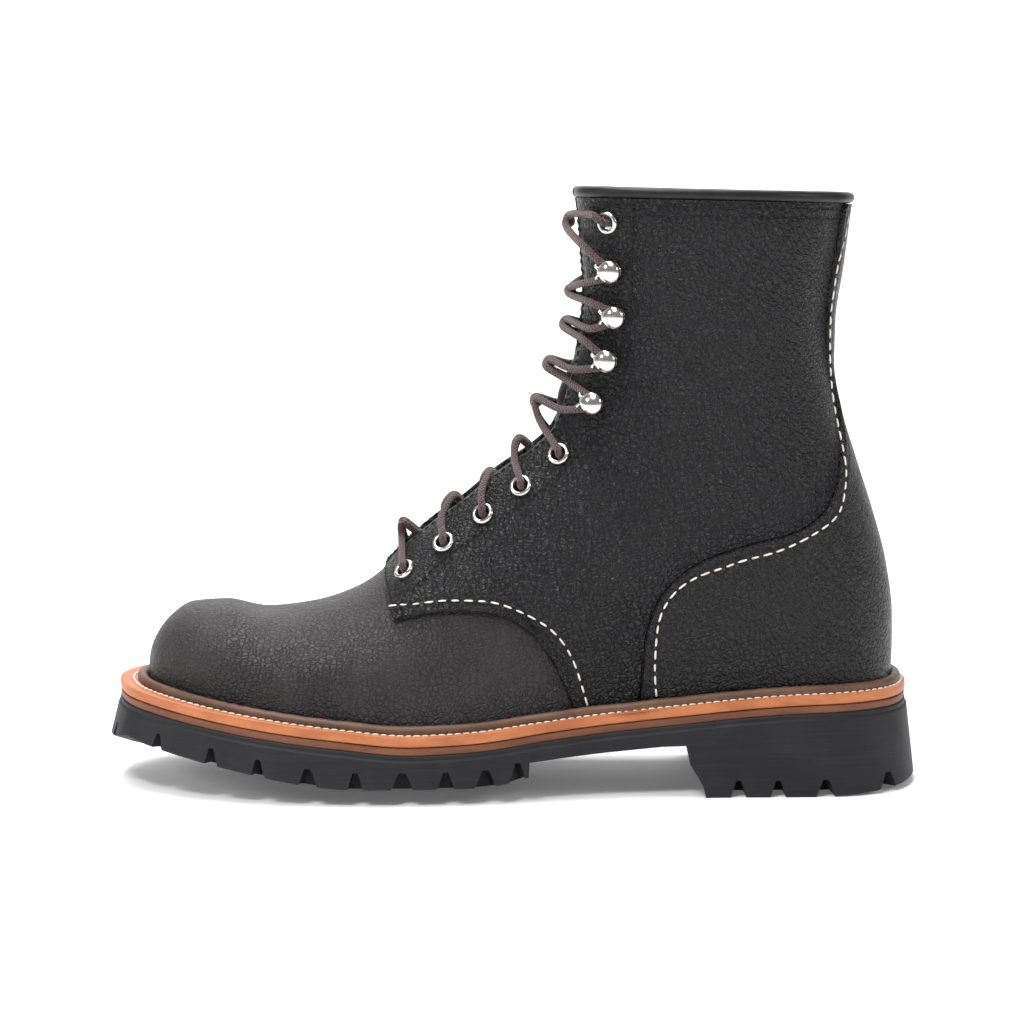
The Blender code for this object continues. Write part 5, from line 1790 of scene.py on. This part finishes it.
@dataclass
class Lacing:
    """Eyelets, hooks and one lace that runs through them."""

    last: Last
    outer: float = 0.0044
    hole: float = 0.0025
    ring: float = 0.0013
    dome: float = 0.0046
    height: float = 0.0060
    neck: float = 0.0011
    lace: float = 0.00142

    def spot(self, place: Sequence[float], side: int) -> tuple[np.ndarray, ...]:
        """Place on the quarter's face, outward, up the facing, towards its edge, and t."""
        last = self.last
        t, phi = last.locate([place], side)[0]
        lift = 2 * last.clearance + last.overlay
        centre = last.raised(t, phi, side, np.array(lift))
        out = last.normal(t, phi, side)
        up = last.point(t + 0.01, phi, side) - last.point(t - 0.01, phi, side)
        up = up - out * np.dot(up, out)
        up /= np.linalg.norm(up)
        edge = last.point(t, min(phi + 0.02, 1.0), side) - last.point(t, phi - 0.02, side)
        across = np.cross(out, up)
        across *= 1 if np.dot(across, edge) > 0 else -1
        return centre, out, up, across, float(t)

    def eyelet(self, name: str, place: Sequence[float], side: int) -> bpy.types.Object:
        """Rolled ring with its barrel through the leather."""
        h, r0, r1 = self.ring, self.hole, self.outer
        arc = [(r0 + (r1 - r0) * (0.5 - 0.5 * math.cos(a)), h * math.sin(a) ** 0.8)
               for a in np.linspace(0.12, 3.1, 12)]
        profile = [(r0, -0.0040), (r0, 0.0002)] + arc + [(r1, -0.0001), (r0 + 0.0006, -0.0002),
                                                         (r0 + 0.0005, -0.0040), (r0, -0.0040)]
        piece = revolve(name, profile, 44)
        centre, out, up, _, _ = self.spot(place, side)
        piece.data.transform(matrix(centre, np.cross(up, out), up, out))
        return piece

    def hook(self, name: str, place: Sequence[float], side: int) -> bpy.types.Object:
        """Speed hook: riveted base, neck and polished dome with two prongs."""
        r, n, h = self.dome, self.neck, self.height
        dome = [(0.0, h)] + [(r * math.sin(a), h - r * 0.62 * (1 - math.cos(a)))
                             for a in np.linspace(0.15, 1.5, 9)]
        dome += [(r * 0.99, h - r * 0.70), (r * 0.86, h - r * 0.74), (n * 1.15, h - r * 0.70),
                 (n, h - r * 0.8), (n, 0.0009), (n * 1.5, 0.0006), (r * 0.70, 0.0005),
                 (r * 0.74, 0.0), (0.0, 0.0)]
        parts = [revolve(name, dome, 40)]
        for vert in parts[0].data.vertices:
            if vert.co.x > 0 and vert.co.z > h - r * 0.8:
                share = vert.co.x / r
                vert.co.y *= 1 - 0.30 * share ** 1.5
                vert.co.x *= 1 + 0.14 * share
                vert.co.z -= 0.0004 * share ** 2
        ring = [(0.0, 0.0007), (0.0030, 0.0007), (0.0034, 0.0004), (0.0035, 0.0), (0.0, 0.0)]
        base = revolve(name + "_base", ring, 36)
        base.data.transform(Matrix.Translation((0.0012, -0.0004, 0)))
        parts.append(base)
        for sign in (-1, 1):
            line = np.array([(0.0032, sign * 0.0010, h - r * 0.40), (0.0044, sign * 0.0014, h - r * 0.50),
                             (0.0051, sign * 0.0019, h - r * 0.54), (0.0054, sign * 0.0023, h - r * 0.56)])
            parts.append(tube(name + "_prong", through(line, 4), 0.00072, 8))
        piece = join(name, parts)
        centre, out, _, across, _ = self.spot(place, side)
        piece.data.transform(matrix(centre, across, np.cross(out, across), out))
        if np.linalg.det(np.array([across, np.cross(out, across), out])) < 0:
            piece.data.flip_normals()
        return piece

    def passes(self, k: int) -> np.ndarray:
        """Side-view places of the runs between rows k and k + 1, in metres."""
        rows = (
            # leaving, lower pass, upper pass, arriving
            ((-42.7, 94.2), (-42.4, 100.5), (-42.4, 100.5), (0.0, 0.0)),
            ((-26.9, 104.3), (-22.1, 110.6), (-22.1, 110.6), (0.0, 0.0)),
            ((-11.5, 114.7), (-8.1, 120.0), (-8.1, 120.0), (0.0, 0.0)),
            ((0.8, 126.7), (3.1, 132.9), (3.1, 132.9), (0.0, 0.0)),
            ((11.1, 139.4), (8.9, 145.3), (9.7, 148.8), (18.4, 145.5)),
            ((19.5, 157.0), (13.5, 160.4), (15.1, 163.5), (22.9, 160.8)),
            ((26.7, 172.3), (20.0, 175.8), (21.6, 178.9), (29.0, 176.5)),
            ((28.5, 186.7), (22.3, 188.5), (22.7, 191.2), (27.0, 193.5)),
            ((27.0, 207.2), (21.1, 213.8), (22.6, 219.1), (29.6, 219.2)),
        )
        return np.array(rows[k]) * MM

    def beside(self, place: np.ndarray, side: int) -> np.ndarray:
        """Place on the facing, or off its edge, at which the lace is seen in the side view."""
        last = self.last
        lift = np.array(2 * last.clearance + last.overlay + self.lace + 0.0002)
        guess = place.copy()
        for _ in range(4):
            t, phi = last.locate(last.to_shares(guess[None, :]), side)[0]
            spot = last.raised(t, phi, side, lift)
            guess += place - spot[[0, 2]]
        off = math.hypot(spot[0] - place[0], spot[2] - place[1])
        return np.array([place[0], side * (abs(spot[1]) - 0.5 * max(off - 0.0005, 0)), place[1]])

    def half(self, first: int) -> list[np.ndarray]:
        """Run of the lace from the bar to the top, starting on one side.

        Args:
            first: The side on which it leaves the lowest eyelet.

        Returns:
            The run's places.
        """
        last = self.last
        places: list[np.ndarray] = []
        side = first
        rows = [EYELETS[k] for k in range(5)] + list(HOOKS) + [EYELETS[5]]
        for k, place in enumerate(rows):
            centre, out, up, across, t = self.spot(place, side)
            if k < 5:
                places += [centre - out * 0.0052 + across * 0.0030 - up * 0.0008, centre - out * 0.0030,
                           centre + out * 0.0006, centre + out * 0.0022 + across * 0.0006 + up * 0.0010]
            elif k < 9:
                high = self.lace + 0.0001
                places += [centre + out * (high + 0.0004) - up * 0.0027 + across * 0.0030,
                           centre + out * high - up * 0.0023 - across * 0.0008,
                           centre + out * high - across * 0.0026,
                           centre + out * high + up * 0.0023 - across * 0.0008,
                           centre + out * (high + 0.0004) + up * 0.0027 + across * 0.0030]
            else:
                places += [centre + out * 0.0030 + across * 0.0024 + up * 0.0016, centre + out * 0.0010,
                           centre - out * 0.0022, centre - out * 0.0050]
                break
            nxt = self.spot(rows[k + 1], -side)
            leave, low, high, arrive = self.passes(k)
            over = np.array([-0.92, 0.0, 0.40]) * (-self.lace if side > 0 else self.lace) * 0.9
            low, high = [np.array([p[0], 0.0, p[1]]) for p in (low, high)]
            across_by = np.array([0, side * 0.0042, 0])
            places.append(self.beside(leave, side))
            if k < 4:
                under = last.raised(t + (nxt[4] - t) * 0.72, 0.985, -side, np.array(-0.0046))
                flat = under * (1, 0, 1)
                dip = low * 0.35 + flat * 0.65 - np.array([0, 0, 0.0022]) + over * 0.6
                places += [low + across_by, dip, under]
            else:
                middle = (low + high) / 2 + over
                places += [low + across_by, middle, high - across_by, self.beside(arrive, -side)]
            side = -side
        return places

    def route(self) -> np.ndarray:
        """The whole lace, from one top eyelet down to the bar and up to the other."""
        near, far = self.half(-1), self.half(1)
        last = self.last
        t = float(last.locate([BAR_PLACE], -1)[0][0])
        bar = [last.raised(t, 0.96, side, np.array(-0.0048)) for side in (-1, 1)]
        middle = (bar[0] + bar[1]) / 2 + np.array([-0.0005, 0, 0.0008])
        control = near[::-1] + [bar[0], middle, bar[1]] + far
        line = through(control, 10)
        line = even(line, 0.0007)
        for _ in range(3):
            line[1:-1] = line[1:-1] * 0.5 + (line[:-2] + line[2:]) * 0.25
        return line

    def holes(self, length: float = 0.012) -> bpy.types.Object:
        """Punches for the lace holes."""
        build = bmesh.new()
        for side in (-1, 1):
            for place in EYELETS:
                centre, out, up, _, _ = self.spot(place, side)
                turn = matrix(centre, np.cross(up, out), up, out)
                bmesh.ops.create_cone(build, cap_ends=True, segments=24, radius1=0.0029, radius2=0.0029,
                                      depth=length, matrix=turn)
        mesh = bpy.data.meshes.new("punch")
        build.to_mesh(mesh)
        build.free()
        piece = bpy.data.objects.new("punch", mesh)
        bpy.context.scene.collection.objects.link(piece)
        return piece


@dataclass
class Studio:
    """Floor with its sweep, lights and camera."""

    camera_place: tuple = (0.0, -1.030, 0.2294)
    frame_pixels: float = 1024.0
    focal_pixels: float = 2669.0
    tilt_pixels: float = 325.0

    def camera(self) -> None:
        """Camera at the photograph's angle."""
        tilt = math.radians(90) - math.atan(self.tilt_pixels / self.focal_pixels)
        deselect()
        bpy.ops.object.camera_add(location=self.camera_place, rotation=(tilt, 0, 0))
        made = bpy.context.active_object
        made.data.sensor_width = 36
        made.data.lens = self.focal_pixels / self.frame_pixels * 36
        made.data.clip_start = 0.01
        bpy.context.scene.camera = made

    def floor(self) -> bpy.types.Object:
        """Pale floor that sweeps up at the back, with a faint painted glow that lightens its shadows."""
        turn = np.linspace(0, math.pi / 2, 14)
        curve = [(2.2 + 1.4 * math.sin(a), 1.4 - 1.4 * math.cos(a)) for a in turn]
        profile = [(-6.0, 0.0), (-1.0, 0.0), (0.6, 0.0)] + curve
        profile += [(3.6, 3.0), (3.6, 7.0)]
        x = np.linspace(-7, 7, 5)
        places = np.array([[(a, y, z) for a in x] for y, z in profile])
        piece = sheet("floor", places)
        if piece.data.polygons[0].normal.z < 0:
            piece.data.flip_normals()
        smooth_shade(piece, 60)
        finish = Finish("paper_with_painted_glow")
        speck = finish.noise(finish.place(), 900.0, 2.0)
        # Painted light: the paper emits white at strength 0.10, which lifts the boot's shadow on the floor.
        finish.put(Base_Color=finish.blend(speck, (0.90, 0.90, 0.905), (0.93, 0.93, 0.93)), Roughness=0.75,
                   Specular_IOR_Level=0.2, Emission_Color=(1.0, 1.0, 1.0, 1.0), Emission_Strength=0.10)
        piece.data.materials.clear()
        piece.data.materials.append(finish.material)
        return piece

    def lamp(self, name: str, place: Sequence[float], size: float, power: float,
             aim: Sequence[float]) -> None:
        """One soft area light aimed at a place."""
        deselect()
        bpy.ops.object.light_add(type="AREA", location=place)
        made = bpy.context.active_object
        made.name = name
        made.data.shape = "RECTANGLE"
        made.data.size = size
        made.data.size_y = size * 0.7
        made.data.energy = power
        way = Vector(aim) - Vector(place)
        made.rotation_euler = way.to_track_quat("-Z", "Y").to_euler()

    def build(self) -> None:
        """Everything round the boot."""
        self.camera()
        self.floor()
        aim = (0.0, 0.0, 0.1)
        self.lamp("overhead", (-0.25, 0.05, 1.7), 1.25, 27.0, aim)
        self.lamp("high_front", (-0.45, -1.05, 1.55), 0.5, 19.0, aim)
        self.lamp("left_front", (-1.7, -0.7, 1.0), 0.6, 8.0, aim)
        self.lamp("right_front", (1.6, -0.6, 0.9), 0.6, 7.0, aim)
        self.lamp("backdrop", (0.0, 1.6, 2.6), 2.2, 90.0, (0.0, 3.2, 0.2))
        world = bpy.data.worlds.new("studio")
        bpy.context.scene.world = world
        world.use_nodes = True
        world.node_tree.nodes["Background"].inputs[0].default_value = (1.0, 1.0, 1.0, 1.0)
        world.node_tree.nodes["Background"].inputs[1].default_value = 0.26
        bpy.context.scene.view_settings.view_transform = "Standard"


class Boot:
    """The whole logger boot over the frame."""

    def __init__(self) -> None:
        """Make the last, the finishes and the sub-assemblies."""
        self.last = Last()
        self.sole = Sole(self.last)
        self.threads = Threads(self.last)
        self.lacing = Lacing(self.last)
        # Painted light: the vamp's leather is made several times lighter than the quarters' to stand in for
        # the light that the vamp and toe catch from above and the front.
        self.vamp = Leather("vamp_leather_painted_light", (0.0175, 0.0150, 0.0162), (0.0280, 0.0240, 0.0258), 500.0,
                            0.00042, 0.00003, 0.44).make()
        self.body = Leather("quarter_leather").make()
        self.heel = Leather("counter_leather", (0.0042, 0.0040, 0.0050), (0.0075, 0.0072, 0.0085), 430.0,
                            0.00055).make()
        self.binding = Leather("binding_leather", (0.0050, 0.0050, 0.0055), (0.0085, 0.0085, 0.0090),
                               1500.0, 0.00002, 0.00002, 0.36, 0.08).make()
        self.tongue_skin = Leather("tongue_leather", (0.0055, 0.0055, 0.0065), (0.0095, 0.0095, 0.0110),
                                   700.0, 0.0001).make()
        self.lining = Plain("lining_leather", (0.30, 0.19, 0.11), (0.22, 0.13, 0.07), 0.75, 1500.0).make()
        self.bed = Plain("footbed_leather", (0.42, 0.29, 0.17), (0.31, 0.20, 0.11), 0.8, 1200.0).make()
        self.welt = Plain("welt_leather", (0.50, 0.170, 0.054), (0.36, 0.100, 0.030), 0.5, 700.0, 0.0001,
                          (1, 1, 3)).make()
        self.mid = Plain("midsole_leather", (0.20, 0.066, 0.024), (0.11, 0.032, 0.012), 0.6, 700.0, 0.00015,
                         (1, 1, 4)).make()
        self.storm = Plain("storm_bead_leather", (0.125, 0.058, 0.031), (0.075, 0.033, 0.018), 0.5,
                           900.0).make()
        self.white = Plain("cream_thread", (0.80, 0.76, 0.66), (0.60, 0.55, 0.45), 0.8, 3500.0, 0.00008,
                           sheen=0.2).make()
        self.black = Plain("black_thread", (0.0012, 0.0012, 0.0014), (0.0008, 0.0008, 0.0009), 0.9, 3500.0,
                           0.00008).make()
        self.rubber = Rubber("lug_rubber").make()
        self.nickel = Metal("polished_nickel").make()
        self.cord = Cord("braided_lace").make()

    def build_sole(self) -> None:
        """Rubber, midsole, welt, bead, footbed and the welt's stitching."""
        dress(self.sole.outsole_piece(), [self.rubber], ["outsole"])
        dress(self.sole.midsole_piece(), [self.mid], ["midsole"])
        dress(self.sole.flange_piece(), [self.welt], ["welt"])
        dress(self.sole.bead_piece(), [self.storm])
        dress(self.sole.insole_piece(), [self.bed], ["insole"])
        line, up = self.sole.welt_seam()
        seam = self.threads.run("welt_stitches", line, up, pitch=0.0031, length=0.0027, thick=0.00042,
                                slant=0.10)
        dress(seam, [self.white])

    def build_upper(self) -> None:
        """Vamp, quarters, counter, collar and tongue."""
        base = Upper(self.last).build()
        cut(base, self.lacing.holes())
        dress(base, [self.vamp, self.lining], ["upper"])
        for side in Side:
            piece = Quarter(self.last, side.value).build()
            cut(piece, self.lacing.holes())
            dress(piece, [self.body], ["quarter_" + side.word])
        dress(Counter(self.last).build(), [self.heel], ["counter"])
        dress(Collar(self.last).build(), [self.binding], ["collar_binding"])
        dress(Tongue(self.last).build(), [self.tongue_skin], ["tongue"])

    def build_seams(self) -> None:
        """White and black stitching of the leather."""
        last, threads = self.last, self.threads
        face = last.clearance + last.overlay
        back = last.clearance + last.counter_overlay
        for side in Side:
            s, word = side.value, side.word
            lower = last.beside(LOWER_SEAM, 0.0)
            dress(threads.seam("lower_seam_" + word, s, lower, face + 0.00002), [self.white])
            line = [p for p in last.beside(QUARTER_LOWER, SECOND_SEAM) if p[1] > 0.20]
            dress(threads.seam("lower_second_seam_%s_1" % word, s, np.array(line), face + 0.0001,
                               **FINE_BLACK_STITCH), [self.black])
            edge = last.beside(COUNTER_SEAM, 0.0)
            dress(threads.seam("counter_seam_" + word, s, edge, back - 0.00010), [self.white])
            inner = last.beside(FACING_SEAM, 0.0)
            dress(threads.seam("facing_seam_" + word, s, inner, face - 0.00005, **BLACK_STITCH),
                  [self.black])
            front = last.beside(QUARTER_FRONT, 0.0016)
            dress(threads.seam("tab_seam_" + word, s, front, face - 0.00005, **BLACK_STITCH),
                  [self.black])
            t = np.linspace(0.338, 0.985, 80)
            near_edge = last.point(t, np.full_like(t, 0.96), s) - last.point(t, np.ones_like(t), s)
            step = np.linalg.norm(near_edge, axis=1)
            phi = 1 - 0.04 * 0.0034 / step
            line = last.raised(t, phi, s, np.full_like(t, face - 0.0001))
            dress(threads.run("facing_edge_seam_" + word, line, last.normal(t, phi, s),
                              **BLACK_STITCH), [self.black])
            for k, drop in enumerate((0.0, 0.0155)):
                line = through([(0.606, 0.9660 - drop), (0.700, 0.9655 - drop), (0.800, 0.9635 - drop),
                                (0.922, 0.9605 - drop)], 12)
                dress(threads.seam("collar_seam_%s_%d" % (word, k + 1), s, line, face - 0.0001,
                                   **BLACK_STITCH), [self.black])

    def build_lacing(self) -> None:
        """Rings, hooks and the lace."""
        for side in Side:
            for k, place in enumerate(EYELETS):
                node = "eyelet_%s_%d" % (side.word, k + 1)
                dress(self.lacing.eyelet("ring_%s_%d" % (side.word, k + 1), place, side.value), [self.nickel],
                      [node])
            for k, place in enumerate(HOOKS):
                node = "hook_%s_%d" % (side.word, k + 1)
                dress(self.lacing.hook("speed_%s_%d" % (side.word, k + 1), place, side.value), [self.nickel],
                      [node])
        lace = tube("lace", self.lacing.route(), self.lacing.lace, 14)
        dress(lace, [self.cord], ["lace_bar"] + ["lace_crossing_%d" % (k + 1) for k in range(9)])

    def build(self) -> None:
        """Build every part of the boot in order."""
        self.build_sole()
        self.build_upper()
        self.build_seams()
        self.build_lacing()


def main() -> None:
    """Build the studio and the boot."""
    logging.basicConfig(level=logging.INFO, format="%(message)s")
    Studio().build()
    Boot().build()


if __name__ == "__main__":
    main()
